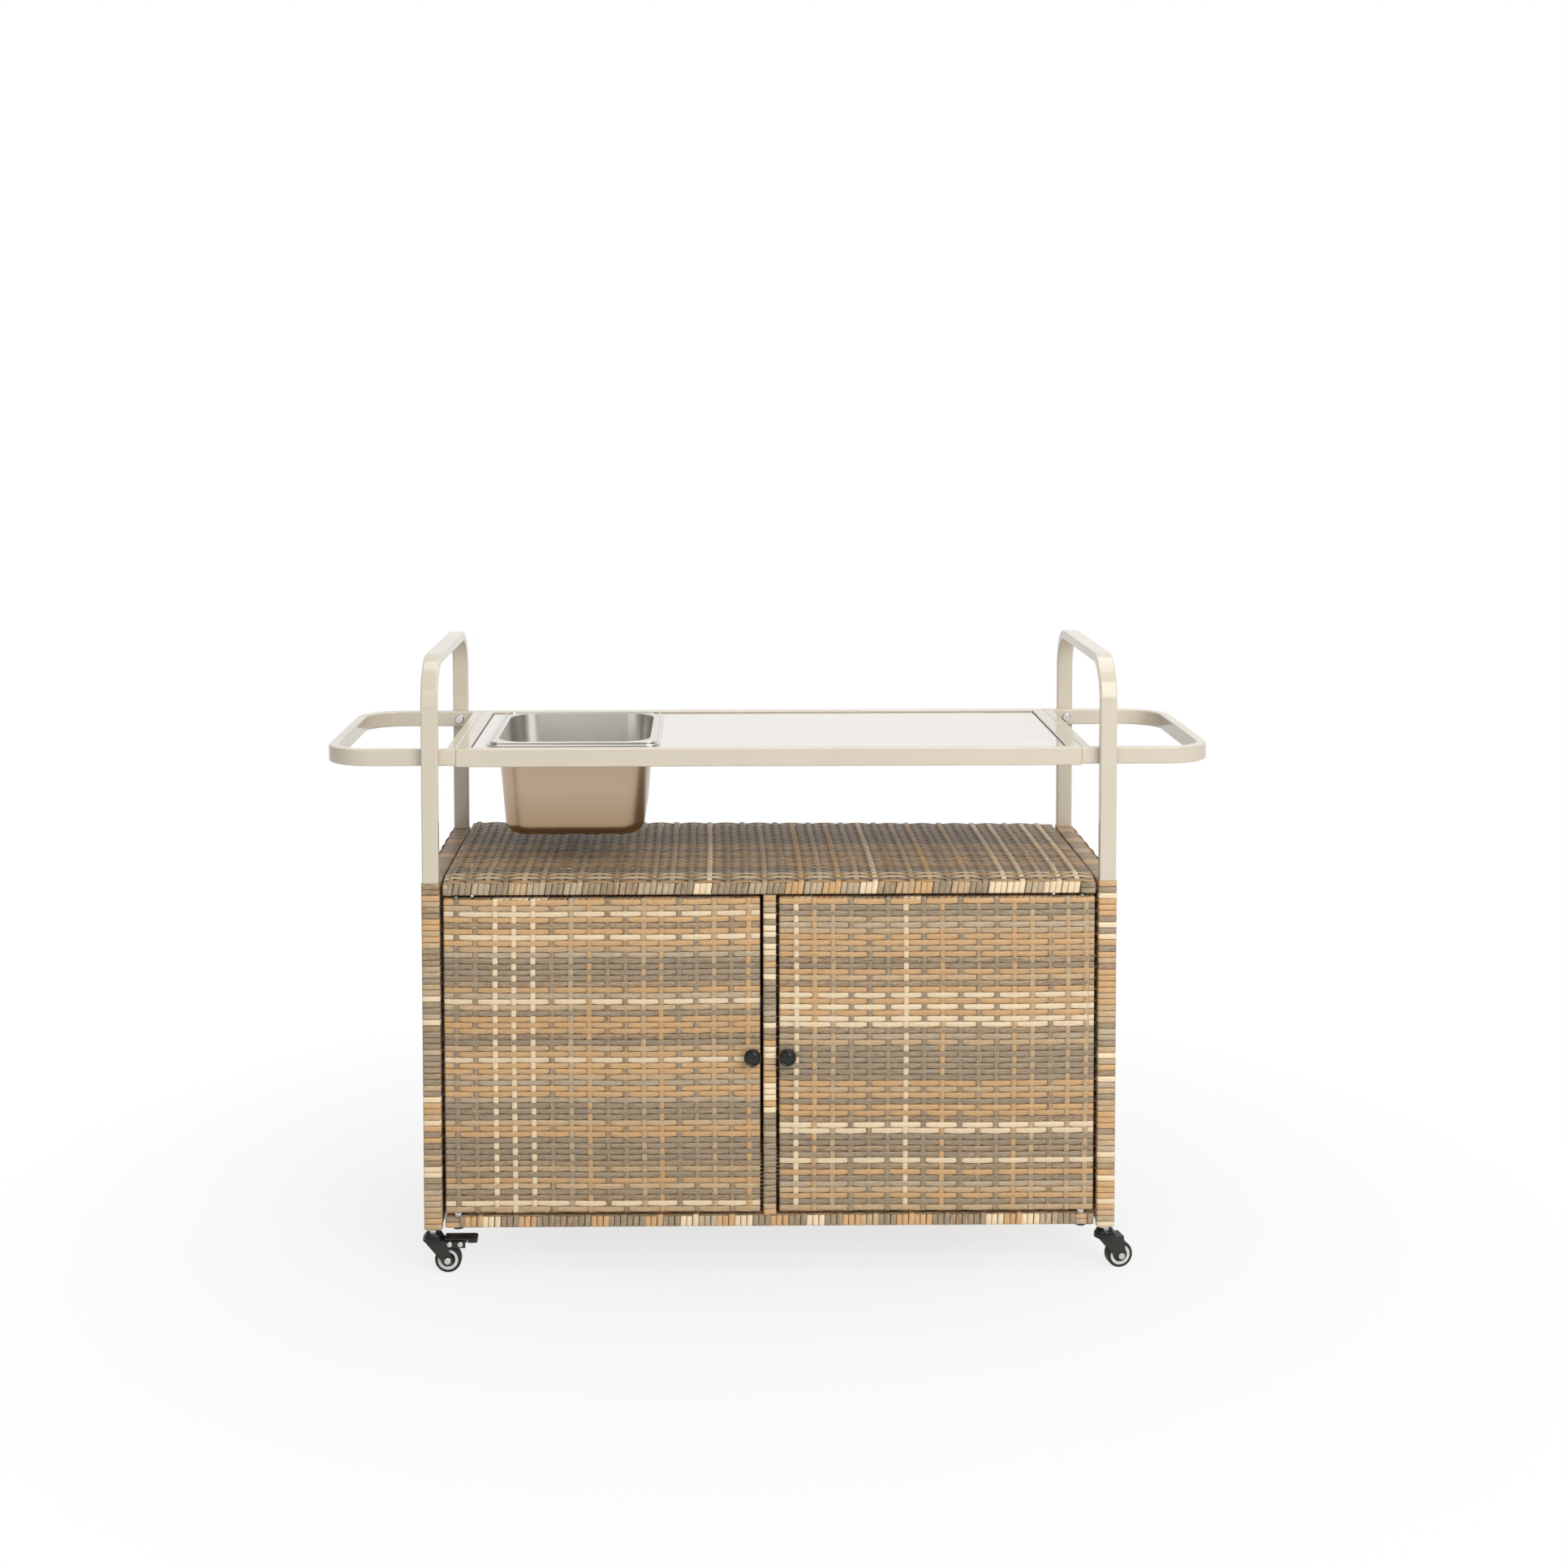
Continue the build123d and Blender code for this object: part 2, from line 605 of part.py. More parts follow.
def fork(braked):
    """Pressed fork: round head on the stem's neck, top plate and two side plates to the axle."""
    tail = fork_head_radius if braked else fork_tail
    head = Circle(fork_head_radius) + Pos(tail / 2, 0) * Rectangle(tail, 2 * plate_out)
    plate = Pos(0, 0, fork_top - fork_plate) * extrude(head, amount=fork_plate)
    lobe = Pos(caster_trail, wheel_radius) * Circle(fork_lobe)
    outline = make_hull(lobe.edges() + Polyline((-fork_nose, fork_top), (tail, fork_top)).edges())
    if braked:
        arm_mid = (brake_arm_low + brake_arm_high) / 2
        outline += Pos(brake_arm_end / 2, arm_mid) * Rectangle(brake_arm_end, brake_arm_high - brake_arm_low)
    body = plate + side_plate(outline)
    body -= rod((0, 0, fork_top - fork_plate), (0, 0, 1), fork_plate, neck_radius + neck_clearance)
    body -= across(caster_trail, wheel_radius, axle_radius, plate_out)
    if braked:
        body -= across(stop_rivet_x, rivet_height, rivet_radius, plate_out)
        body -= across(pedal_rivet_x, rivet_height, rivet_radius, plate_out)
    return body


def axle():
    """Axle bolt with a hexagon nut on the outside and a round head on the other side."""
    shank = across(caster_trail, wheel_radius, axle_radius, plate_out)
    head = rod((caster_trail, plate_out, wheel_radius), (0, 1, 0), axle_head, axle_head_radius)
    head = fillet(head.edges().group_by(Axis.Y)[-1], axle_head / 2)
    seat = Plane(origin=(caster_trail, -plate_out, wheel_radius), z_dir=(0, -1, 0))
    nut = extrude(seat * RegularPolygon(axle_head_radius, 6), amount=axle_head)
    nut = fillet(nut.edges().group_by(Axis.Y)[0], axle_head / 4)
    return shank + head + nut


def wheel_core():
    """Moulded wheel core: hub, web and rim, with the axle's bore."""
    tread_in = wheel_radius - tyre_thick
    rim_half = wheel_width / 2 - core_face_in
    hub_half = plate_in - hub_end_gap
    rim_ring = across(0, 0, tread_in, rim_half) - across(0, 0, tread_in - core_ring, rim_half)
    web = across(0, 0, tread_in - core_ring, core_web / 2)
    hub = across(0, 0, hub_radius, hub_half)
    bore = across(0, 0, axle_radius + axle_clearance, hub_half)
    return Pos(caster_trail, 0, wheel_radius) * (rim_ring + web + hub - bore)


def tyre():
    """Tyre round the core."""
    ring = across(0, 0, wheel_radius, wheel_width / 2)
    ring = fillet(ring.edges(), tyre_round)
    seat = across(0, 0, wheel_radius - tyre_thick, wheel_width / 2)
    return Pos(caster_trail, 0, wheel_radius) * (ring - seat)


def stem():
    """Threaded stem with the bearing cup, and the neck and head that carry the fork."""
    cup = rod((0, 0, cup_low), (0, 0, 1), cup_base_high, cup_base_radius)
    cap = rod((0, 0, cup_low + cup_base_high), (0, 0, 1), cup_high - cup_base_high, cup_radius)
    cap = fillet(cap.edges().group_by(Axis.Z)[-1], cup_round)
    thread = rod((0, 0, cup_low), (0, 0, 1), cup_high + nut_high + stem_bite, stem_radius)
    head_top = fork_top - fork_plate - stem_head_gap
    neck = rod((0, 0, head_top), (0, 0, 1), cup_low - head_top, neck_radius)
    head = rod((0, 0, head_top - stem_head), (0, 0, 1), stem_head, stem_head_radius)
    return cup + cap + thread + neck + head


def lock_nut():
    """Hexagon nut between the bearing cup and the foot of the post."""
    outline = RegularPolygon(nut_flats / 2, 6, major_radius=False) - Circle(stem_radius)
    return Pos(0, 0, caster_height - nut_high) * extrude(outline, amount=nut_high)


def rivets():
    """Stop rivet and pedal rivet of a braked fork."""
    made = []
    for x in (stop_rivet_x, pedal_rivet_x):
        pin = across(x, rivet_height, rivet_radius, plate_out)
        for face in (-1, 1):
            head = rod((x, face * plate_out, rivet_height), (0, face, 0), rivet_head, rivet_head_radius)
            outer = head.edges().sort_by(lambda e: abs(e.center().Y))[-1]
            pin += fillet(outer, rivet_head_round)
        made.append(pin)
    return made


def pedal():
    """Brake pedal: a plate over the fork, a hollow tab for the toe and two ears on the pedal rivet."""
    under = pedal_top - pedal_plate
    tab_start = pedal_end - pedal_tab
    plate = block(pedal_start, pedal_end - pedal_corner, -plate_out, plate_out, under, pedal_top)
    tab = block(tab_start, pedal_end, -plate_out, plate_out, pedal_top - pedal_tab_high, pedal_top)
    tab = fillet(tab.edges().filter_by(Axis.Z), pedal_corner)
    tab = fillet(tab.edges().group_by(Axis.Z)[-1], pedal_plate / 2)
    inside = plate_out - pedal_plate
    hollow = block(tab_start + pedal_plate, pedal_end - pedal_plate, -inside, inside, 0, under)
    channel = plate + (tab - fillet(hollow.edges().filter_by(Axis.Z), pedal_corner - pedal_plate))
    ear_out = plate_in - pedal_ear_gap
    ear_in = ear_out - pedal_ear
    for face in (-1, 1):
        lobe = rod((pedal_rivet_x, face * ear_in, rivet_height), (0, face, 0), pedal_ear, pedal_ear_radius)
        web = block(
            pedal_rivet_x - pedal_ear_radius,
            pedal_rivet_x + pedal_ear_radius,
            face * ear_in,
            face * ear_out,
            rivet_height,
            pedal_top - pedal_plate / 2,
        )
        channel += lobe + web
    return channel - across(pedal_rivet_x, rivet_height, rivet_radius + rivet_clearance, plate_in)


# Casters
stems = []
nuts = []
for name, (side, face, heading, braked) in casters.items():
    at = Pos(side * post_x, face * post_y, 0) * Rot(0, 0, heading)
    stems.append(at * stem())
    nuts.append(at * lock_nut())
    keep(name + "_fork", at * fork(braked))
    keep(name + "_axle", at * axle())
    keep(name + "_wheel_core", at * wheel_core())
    keep(name + "_tyre", at * tyre())
    if braked:
        keep(name + "_brake_rivets", *[at * rivet for rivet in rivets()])
        keep(name + "_brake_pedal", at * pedal())
keep("caster_stems", *stems)
keep("caster_nuts", *nuts)

os.makedirs("parts", exist_ok=True)
for name, solids in parts.items():
    shape = solids[0] if len(solids) == 1 else Compound(children=solids)
    export_step(shape, f"parts/{name}.step")
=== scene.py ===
import json
import math
from collections import namedtuple

import bpy
import numpy as np
from mathutils import Matrix, Vector


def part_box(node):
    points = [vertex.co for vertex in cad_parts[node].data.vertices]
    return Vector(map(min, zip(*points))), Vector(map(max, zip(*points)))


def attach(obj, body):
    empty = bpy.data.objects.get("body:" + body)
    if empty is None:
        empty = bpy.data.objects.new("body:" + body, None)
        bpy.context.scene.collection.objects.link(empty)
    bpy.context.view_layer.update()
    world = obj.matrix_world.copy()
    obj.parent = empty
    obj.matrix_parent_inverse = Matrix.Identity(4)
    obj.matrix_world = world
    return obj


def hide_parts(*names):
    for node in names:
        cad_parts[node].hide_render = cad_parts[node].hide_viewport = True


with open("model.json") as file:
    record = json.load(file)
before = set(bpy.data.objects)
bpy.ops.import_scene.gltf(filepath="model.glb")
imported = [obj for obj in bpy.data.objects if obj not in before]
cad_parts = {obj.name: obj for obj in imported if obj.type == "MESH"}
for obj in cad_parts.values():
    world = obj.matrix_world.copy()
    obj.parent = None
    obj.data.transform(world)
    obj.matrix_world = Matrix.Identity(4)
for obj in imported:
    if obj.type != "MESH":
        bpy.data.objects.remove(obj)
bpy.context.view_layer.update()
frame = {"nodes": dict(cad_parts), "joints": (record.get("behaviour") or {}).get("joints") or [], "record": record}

X, Y, Z = np.eye(3)

# Camera at the photograph's place, in metres, degrees and pixels of the photograph
IMAGE_SIDE = 1932
CAMERA_PLACE = (-0.0829, -3.5877, 1.3396)
CAMERA_YAW = 0.638  # towards +X
CAMERA_PITCH = 3.009  # down
CAMERA_ROLL = -0.097
FOCAL_PIXELS = 2800.75
PRINCIPAL_PIXEL = (910.1, 618.8)
SENSOR_MM = 36.0
FAR_CLIP = 100.0

# Tubes that the wicker is wound on, in metres
TUBE = 0.015
POST_DEPTH = 0.025
WRAP = 0.0015  # the solid wicker's thickness on a tube

# Wicker strips, in metres
STRIP_THICK = 0.0011
STRIP_SEAT = 0.0001  # gap between a tube and the strip on it
STRIP_LIFT = STRIP_SEAT + STRIP_THICK / 2  # middle of a strip above the tube
STRIP_TUCK = 0.004  # how far below the face a strip ends on its tube's inner side
STRIP_FILL = 1.0  # share of the pitch that a strip covers
CORNER_RADIUS = 0.0026
CORNER_STEPS = 3
# Section of a strip, as shares of its width and thickness, from one edge over the top to the other
SECTION = np.array([(-0.5, -0.35), (-0.41, 0.5), (0.41, 0.5), (0.5, -0.35), (0.41, -0.5), (-0.41, -0.5)])
STRIP_END = np.array([(0, 1, 2, 3), (0, 3, 4, 5)])  # faces that close a strip's first end
# Where a strip's painted edge shade starts and ends, from its middle, and how it darkens and warms the colour
EDGE_START = 0.0031
EDGE_END = 0.0043
EDGE_SHADE_TINT = (0.62, 0.5, 0.36)
TINT_RANGE = (0.98, 1.09)  # brightness of single strips, against their named colours
GRAIN_RANGE = 10.0  # range of the single strips' places in the grain

# Wefts, in metres
WEFT_WAVE = 0.00062
WEFT_END = TUBE * 0.55  # where the woven stretch ends, from the side tube's outer face
WEFT_TURN = TUBE * 0.3  # where the turn round the side tube starts
WEFT_EVEN = TUBE * 0.4  # stretch at its ends over which a weft isn't pinched
DIVE_NARROW = 0.16  # how much narrower a weft is where it dives
DIVE_POWER = 6  # how closely that keeps to the crossing
# How far the rows stray up or down, and the waves of that along and across them, in radians per metre
SLOW_SWAY = 0.0006
SLOW_WAVE = (9, 4)
QUICK_SWAY = 0.0003
QUICK_WAVE = (27, -7)

# Warps and their turns round the end tubes, in metres
WARP_WAVE = 0.0006
WARP_WIDE = 0.0084
WARP_STEPS = 4  # from one weft to the next
WARP_STRAY = 0.0005  # of single warps
WARP_DRIFT = 0.0007  # of all warps together, in waves
DRIFT_WAVE = 12  # radians per metre
WARP_LAST = 0.001  # from a warp's turn to its last crossing
TURNS_PER_WARP = 3  # turns round the rail for each warp, with the warp's own
TURN_START = 0.0027  # where a turn starts on the face of its rail, from the rail's edge
TURN_LEAN = 0.02  # by which single turns lean more or less
TURN_FILL = (0.97, 1.0)  # share of the pitch that single turns cover
WARP_TURN_FILL = 0.98  # and that a warp's own turn covers
TURN_ROOM = 0.35  # share of the pitch that a turn needs beside a band
CROWN_RUN = 0.045  # over which a crowned panel rises from its lower end

# Strip colours as sRGB, and how strongly the grain shows in each
STRIP_COLOURS = {
    "cream": ((234, 212, 177), 0.4),
    "light": ((197, 169, 132), 0.8),
    "tan": ((205, 166, 119), 0.65),
    "pale": ((187, 168, 140), 1.0),
    "taupe": ((160, 142, 117), 1.3),
    "brown": ((168, 144, 114), 2.0),
}
# Shares of those colours, in their order, where the photograph shows no strips, and on the shelf's back part,
# whose browner mix is partly painted shade from the table above
PLAIN_SHARES = (0.14, 0.18, 0.27, 0.1, 0.22, 0.09)
DARK_SHARES = (0.0, 0.06, 0.16, 0.0, 0.2, 0.58)
BAND_ROWS = 3  # most strips in a band there

# Strips of the left door, rows from the top and warps from the left
LEFT_ROWS = (
    "tan light cream tan brown tan cream tan light pale taupe taupe taupe taupe brown tan pale cream "
    "light taupe tan tan tan brown taupe light tan cream tan tan light pale tan tan pale taupe taupe "
    "taupe light tan tan taupe taupe taupe taupe brown light taupe tan light taupe brown cream light"
).split()
LEFT_WARPS = (
    "taupe brown cream cream cream brown pale tan brown brown light tan taupe taupe light brown tan"
).split()
# Strips of the right door
RIGHT_ROWS = (
    "tan taupe taupe light pale light tan tan light tan brown taupe tan light brown tan cream tan cream "
    "tan cream cream brown pale light taupe taupe taupe taupe taupe taupe tan light tan taupe tan tan "
    "brown cream cream taupe taupe brown taupe cream brown tan taupe pale light tan taupe light"
).split()
RIGHT_WARPS = (
    "cream tan light taupe taupe taupe cream taupe tan taupe brown taupe tan light brown light light"
).split()
# Warps of the shelf and of the cabinet floor from the left, and the first rows of both from the front
SHELF_WARPS = (
    "taupe taupe pale taupe light pale taupe pale taupe brown brown pale pale taupe cream taupe taupe "
    "pale taupe tan pale tan pale cream brown light tan taupe light taupe cream cream pale cream cream"
).split()
SHELF_ROWS = (
    "tan taupe cream tan cream pale taupe taupe taupe brown brown tan tan light tan brown tan tan tan brown"
).split()
FLOOR_WARPS = (
    "taupe tan cream taupe tan taupe brown taupe tan taupe taupe tan taupe cream pale tan cream taupe "
    "tan taupe cream taupe tan light taupe tan tan taupe brown taupe cream tan cream pale taupe"
).split()
FLOOR_ROWS = "brown tan taupe light".split()
# Turns round the posts, from the top
LEFT_POST_ROWS = (
    "brown brown tan light brown taupe tan tan light tan light taupe brown taupe light pale taupe light "
    "pale cream taupe taupe pale cream brown taupe taupe taupe pale taupe taupe taupe brown taupe light "
    "taupe cream tan tan light cream tan taupe tan brown taupe light brown cream cream taupe taupe pale "
    "light pale light light tan light"
).split()
RIGHT_POST_ROWS = (
    "tan taupe cream tan tan tan taupe cream taupe cream tan taupe tan light brown tan tan tan tan "
    "light tan light light light taupe pale pale taupe light cream pale tan brown cream pale light "
    "taupe light light tan tan tan taupe light light pale cream light brown tan cream tan tan tan cream "
    "tan light pale cream"
).split()
CENTRE_POST_ROWS = (
    "tan light pale cream taupe cream cream taupe cream cream pale tan pale cream taupe taupe taupe "
    "taupe taupe pale taupe cream taupe brown tan cream cream light light tan tan cream cream cream tan "
    "cream taupe taupe taupe pale taupe taupe taupe taupe taupe brown taupe taupe taupe brown taupe "
    "light tan"
).split()
# Turns along the side rails, from the front
LEFT_RAIL_WARPS = (
    "tan light taupe taupe brown taupe taupe tan brown taupe brown tan taupe taupe brown"
).split()
RIGHT_RAIL_WARPS = (
    "light tan taupe brown tan taupe taupe light brown taupe tan taupe taupe light taupe"
).split()

PALE_PLASTIC = (236, 234, 229)
# Moulded plastic, rubber and black coats: sRGB colour, roughness, and the grain's scale and depth in metres
MOULDED = {
    # Dark bead round the glass: painted shadow of the gap between the glass and the rails
    "shade_bead": ((128, 118, 104), 0.5, 700.0, 0.00004),
    "soft_strip": ((66, 61, 55), 0.7, 700.0, 0.00004),
    "black_plastic": ((18, 18, 17), 0.55, 900.0, 0.00004),
    "black_gloss": ((17, 15, 13), 0.28, 1200.0, 0.000008),
    "black_steel": ((22, 21, 20), 0.22, 1400.0, 0.00002),
    "black_grain": ((46, 42, 38), 0.5, 900.0, 0.00012),
    "tyre_rubber": ((30, 29, 28), 0.5, 800.0, 0.00003),
    "pale_plastic": (PALE_PLASTIC, 0.4, 500.0, 0.00002),
}


def linear(rgb):
    """Linear colour with alpha 1 from an sRGB triple of 0 to 255."""
    shares = [c / 255 for c in rgb]
    return tuple(c / 12.92 if c <= 0.04045 else ((c + 0.055) / 1.055) ** 2.4 for c in shares) + (1.0,)


def middle_of(node):
    """Middle of a node's box and half its size."""
    low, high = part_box(node)
    return np.array((low + high) / 2), np.array((high - low) / 2)


class Nodes:
    """A node tree, with short ways to add nodes and feed their sockets."""

    def __init__(self, tree):
        self.tree = tree

    def feed(self, socket, value):
        if isinstance(value, bpy.types.NodeSocket):
            self.tree.links.new(value, socket)
        else:
            socket.default_value = value

    def add(self, kind, inputs=None, **settings):
        node = self.tree.nodes.new("ShaderNode" + kind)
        for key, value in settings.items():
            setattr(node, key, value)
        for socket, value in (inputs or {}).items():
            self.feed(node.inputs[socket], value)
        return node

    def scaled(self, vector, scale):
        return self.add("Mapping", {"Vector": vector, "Scale": scale}).outputs["Vector"]

    def place(self, scale=(1, 1, 1)):
        """Coordinates that ride with the piece, in metres times scale."""
        return self.scaled(self.add("TexCoord").outputs["Object"], scale)

    def noise(self, vector, scale=1.0, detail=2.0, rough=0.5):
        inputs = {"Vector": vector, "Scale": scale, "Detail": detail, "Roughness": rough}
        return self.add("TexNoise", inputs).outputs["Fac"]

    def spread(self, value, low, high, start=0.25, end=0.75):
        """Value from start to end stretched to run from low to high."""
        inputs = {"Value": value, "From Min": start, "From Max": end, "To Min": low, "To Max": high}
        return self.add("MapRange", inputs).outputs["Result"]

    def maths(self, operation, a, b):
        return self.add("Math", {0: a, 1: b}, operation=operation).outputs[0]

    def vectors(self, operation, a, b, output="Vector"):
        return self.add("VectorMath", {0: a, 1: b}, operation=operation).outputs[output]

    def length(self, vector):
        return self.add("VectorMath", {0: vector}, operation="LENGTH").outputs["Value"]

    def part(self, vector, axis):
        """One of a vector's three parts."""
        return self.add("SeparateXYZ", {0: vector}).outputs[axis]

    def mix(self, share, a, b):
        return self.add("Mix", {0: share, 6: a, 7: b}, data_type="RGBA").outputs[2]

    def clouded(self, noise, colour, darkest):
        """An sRGB colour that falls to a darker shade of itself where the noise is high."""
        return self.mix(self.spread(noise, 0.0, 1.0), linear(colour), linear([c * darkest for c in colour]))


class Graph(Nodes):
    """A material's node tree."""

    def __init__(self, name):
        self.material = bpy.data.materials.new(name)
        self.material.use_nodes = True
        super().__init__(self.material.node_tree)
        self.shader = self.tree.nodes["Principled BSDF"]

    def set(self, **values):
        """Sets the shader's own sockets, named with _ for a space."""
        for key, value in values.items():
            self.feed(self.shader.inputs[key.replace("_", " ")], value)

    def bump(self, height, distance, strength):
        inputs = {"Height": height, "Distance": distance, "Strength": strength}
        self.set(Normal=self.add("Bump", inputs).outputs["Normal"])


def wicker_material():
    """Resin strips: each strip's own colour with grain along it, painted shade at its edges, a soft sheen and fine
    ridges.
    """
    # Scales of the grain along a strip, across it and from strip to strip
    fine_scale, streak_scale, broad_scale = (28, 1500, 61), (110, 620, 37), (9, 220, 17)
    edge_shade_share = 0.52  # of the edge's tint that shows
    g = Graph("wicker")
    tint = g.add("Attribute", attribute_name="tint")
    flow = g.add("Attribute", attribute_name="flow").outputs["Vector"]
    fine = g.noise(g.scaled(flow, fine_scale), detail=3.0, rough=0.6)
    streak = g.noise(g.scaled(flow, streak_scale), detail=3.0, rough=0.6)
    broad = g.noise(g.scaled(flow, broad_scale))
    grain = g.maths("ADD", g.spread(fine, low=-0.16, high=0.12), g.spread(broad, low=-0.10, high=0.08))
    grain = g.maths("ADD", grain, g.spread(streak, low=-0.26, high=0.22))
    factor = g.maths("ADD", g.maths("MULTIPLY", grain, tint.outputs["Alpha"]), 1.0)
    shade = g.add("VectorMath", {0: tint.outputs["Color"], "Scale": factor}, operation="SCALE")
    colour = shade.outputs["Vector"]
    # Painted shade: each strip's colour darkens and warms towards its edges, standing in for the shade between
    # neighbouring strips
    across = g.maths("ABSOLUTE", g.part(flow, "Y"), 0.0)
    edge = g.spread(across, 0.0, edge_shade_share, EDGE_START, EDGE_END)
    g.set(Base_Color=g.mix(edge, colour, g.vectors("MULTIPLY", colour, EDGE_SHADE_TINT)))
    g.set(Roughness=g.spread(broad, low=0.32, high=0.46), Specular_IOR_Level=0.42)
    g.bump(fine, distance=0.00012, strength=0.7)
    return g.material


def paint_material(name, colour, rough):
    """Powder coat: nearly even colour, a faint orange-peel surface and a gloss."""
    g = Graph(name)
    wide = g.noise(g.place(), scale=7.0, detail=3.0)
    peel = g.noise(g.place(), scale=650.0)
    g.set(Base_Color=g.clouded(wide, colour, darkest=0.975))
    g.set(Roughness=g.spread(wide, rough - 0.04, rough + 0.05))
    g.bump(peel, distance=0.00003, strength=0.5)
    return g.material


def glass_material():
    """Tempered glass painted on its underside, with a faint cloudiness in the paint."""
    light_paint, dark_paint = (220, 212, 199), (214, 206, 193)
    g = Graph("painted_glass")
    cloud = g.noise(g.place(), scale=18.0, detail=4.0)
    g.set(Base_Color=g.mix(g.spread(cloud, 0.0, 1.0), linear(light_paint), linear(dark_paint)))
    g.set(Roughness=g.spread(cloud, low=0.02, high=0.06), Coat_Weight=0.6, Coat_Roughness=0.02, IOR=1.52)
    return g.material


def bolt_material():
    """Bright plated steel with a fine grain."""
    colour, rough = (214, 213, 210), 0.12
    g = Graph("bright_steel")
    grain = g.noise(g.place((900, 900, 900)), detail=3.0, rough=0.6)
    cloud = g.noise(g.place(), scale=14.0)
    g.set(Metallic=1.0, Base_Color=g.clouded(cloud, colour, darkest=0.95))
    g.set(Roughness=g.spread(grain, rough - 0.05, rough + 0.06))
    g.bump(grain, distance=0.000006, strength=0.6)
    return g.material


def pan_material():
    """Drawn steel: a polished rim and satin walls, with a painted reflection on the outer walls: a warm tint of
    the wicker below the pan, darker towards their foot.
    """
    # Painted reflection: the outer walls' warm colours stand in for the wicker they reflect, darker at the foot
    steel, reflection_foot, reflection_top = (208, 205, 199), (168, 144, 116), (184, 163, 141)
    polished, satin = 0.2, 0.32  # roughness of the rim and of the rest
    reflection_rise = (-0.055, 0.0)  # heights from the pan's middle between which its outer wall gets lighter
    rim = (0.016, 0.010)  # depths below the pan's top between which the walls turn into the rim
    # How far a face looks outwards from the pan's middle, in metres, to be no wall yet and to be all wall
    wall_start, wall_end = 0.005, 0.03
    middle, half = middle_of("pan")
    g = Graph("pan_steel")
    sides = g.add("TexCoord").outputs
    away = g.vectors("SUBTRACT", sides["Object"], middle)
    facing = g.vectors("DOT_PRODUCT", g.vectors("MULTIPLY", away, (1, 1, 0)), sides["Normal"], "Value")
    height = g.part(away, "Z")
    below_rim = g.spread(height, 1.0, 0.0, half[2] - rim[0], half[2] - rim[1])
    outer = g.maths("MULTIPLY", g.spread(facing, 0.0, 1.0, wall_start, wall_end), below_rim)
    inner = g.spread(facing, 1.0, 0.0, -wall_end, -wall_start)
    # Painted reflection of the wicker on the outer walls, darker towards their foot
    wall = g.mix(g.spread(height, 0.0, 1.0, *reflection_rise), linear(reflection_foot), linear(reflection_top))
    g.set(Metallic=1.0, Base_Color=g.mix(outer, linear(steel), wall))
    lines = g.noise(g.place((14, 14, 1400)))
    rough = g.spread(g.maths("MAXIMUM", inner, below_rim), polished, satin, 0.0, 1.0)
    g.set(Roughness=g.maths("ADD", rough, g.spread(lines, low=-0.03, high=0.03)))
    g.bump(lines, distance=0.000002, strength=0.5)
    return g.material


def moulded_material(name, colour, rough, grain_scale, grain_depth):
    """Moulded plastic, rubber or black coat with a fine grain."""
    g = Graph(name)
    grain = g.noise(g.place(), grain_scale, detail=3.0, rough=0.6)
    wide = g.noise(g.place(), scale=40.0)
    g.set(Base_Color=g.clouded(wide, colour, darkest=0.85))
    g.set(Roughness=g.spread(wide, rough - 0.05, rough + 0.08))
    g.bump(grain, grain_depth, strength=0.8)
    return g.material


def wheel_material(name, centre, axis):
    """Wheel core: a pale moulded ring round a dark hub, by the distance from the axle."""
    ring_start = 0.0108
    ring_soft = 0.0004
    hub_colour = (38, 37, 36)
    g = Graph(name)
    away = g.vectors("SUBTRACT", g.place(), centre)
    reach = g.length(g.vectors("CROSS_PRODUCT", away, axis))
    share = g.spread(reach, 0.0, 1.0, ring_start - ring_soft, ring_start + ring_soft)
    dust = g.noise(g.place(), scale=160.0, detail=3.0)
    g.set(Base_Color=g.mix(share, linear(hub_colour), linear(PALE_PLASTIC)))
    g.set(Roughness=g.spread(dust, low=0.3, high=0.42))
    g.bump(dust, distance=0.00003, strength=0.5)
    return g.material


MATERIALS = {
    "beige_paint": paint_material("beige_paint", (218, 208, 189), rough=0.12),
    # Hidden panel frames: a guessed dark brown paint, also chosen so that the gaps in the weave show dark as
    # painted shade
    "brown_paint": paint_material("brown_paint", (74, 60, 48), rough=0.5),
    "wicker": wicker_material(),
    "table_glass": glass_material(),
    "pan_steel": pan_material(),
    "bright_steel": bolt_material(),
}
MATERIALS.update({name: moulded_material(name, *looks) for name, looks in MOULDED.items()})


def dress_nodes():
    """Gives each solid its slot's material, each wheel core a two-tone one and each fork a grained one."""
    joints = {j["child"]: j for j in frame["joints"]}
    for row in frame["record"]["subparts"]:
        node = frame["nodes"][row["node"]]
        material = MATERIALS[row["material_slot"]]
        if row["node"].endswith("_fork"):
            material = MATERIALS["black_grain"]
        if row["node"].endswith("_wheel_core"):
            roll = joints[row["node"].replace("_wheel_core", "_wheel")]
            material = wheel_material(row["node"], roll["pos_m"], roll["axis"])
        node.data.materials.clear()
        node.data.materials.append(material)


def add_object(name, data):
    """An object of the scene for a mesh, a lamp or a camera."""
    made = bpy.data.objects.new(name, data)
    bpy.context.scene.collection.objects.link(made)
    return made


def add_piece(name, mesh, slot, body, *nodes):
    """An object for the mesh that rides on a body in the place of CAD nodes."""
    piece = add_object(name, mesh)
    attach(piece, body)
    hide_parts(*nodes)


def add_attribute(mesh, name, kind, field, values):
    """Stores a value for each point of a mesh."""
    mesh.attributes.new(name, kind, "POINT").data.foreach_set(field, np.concatenate(values).ravel())


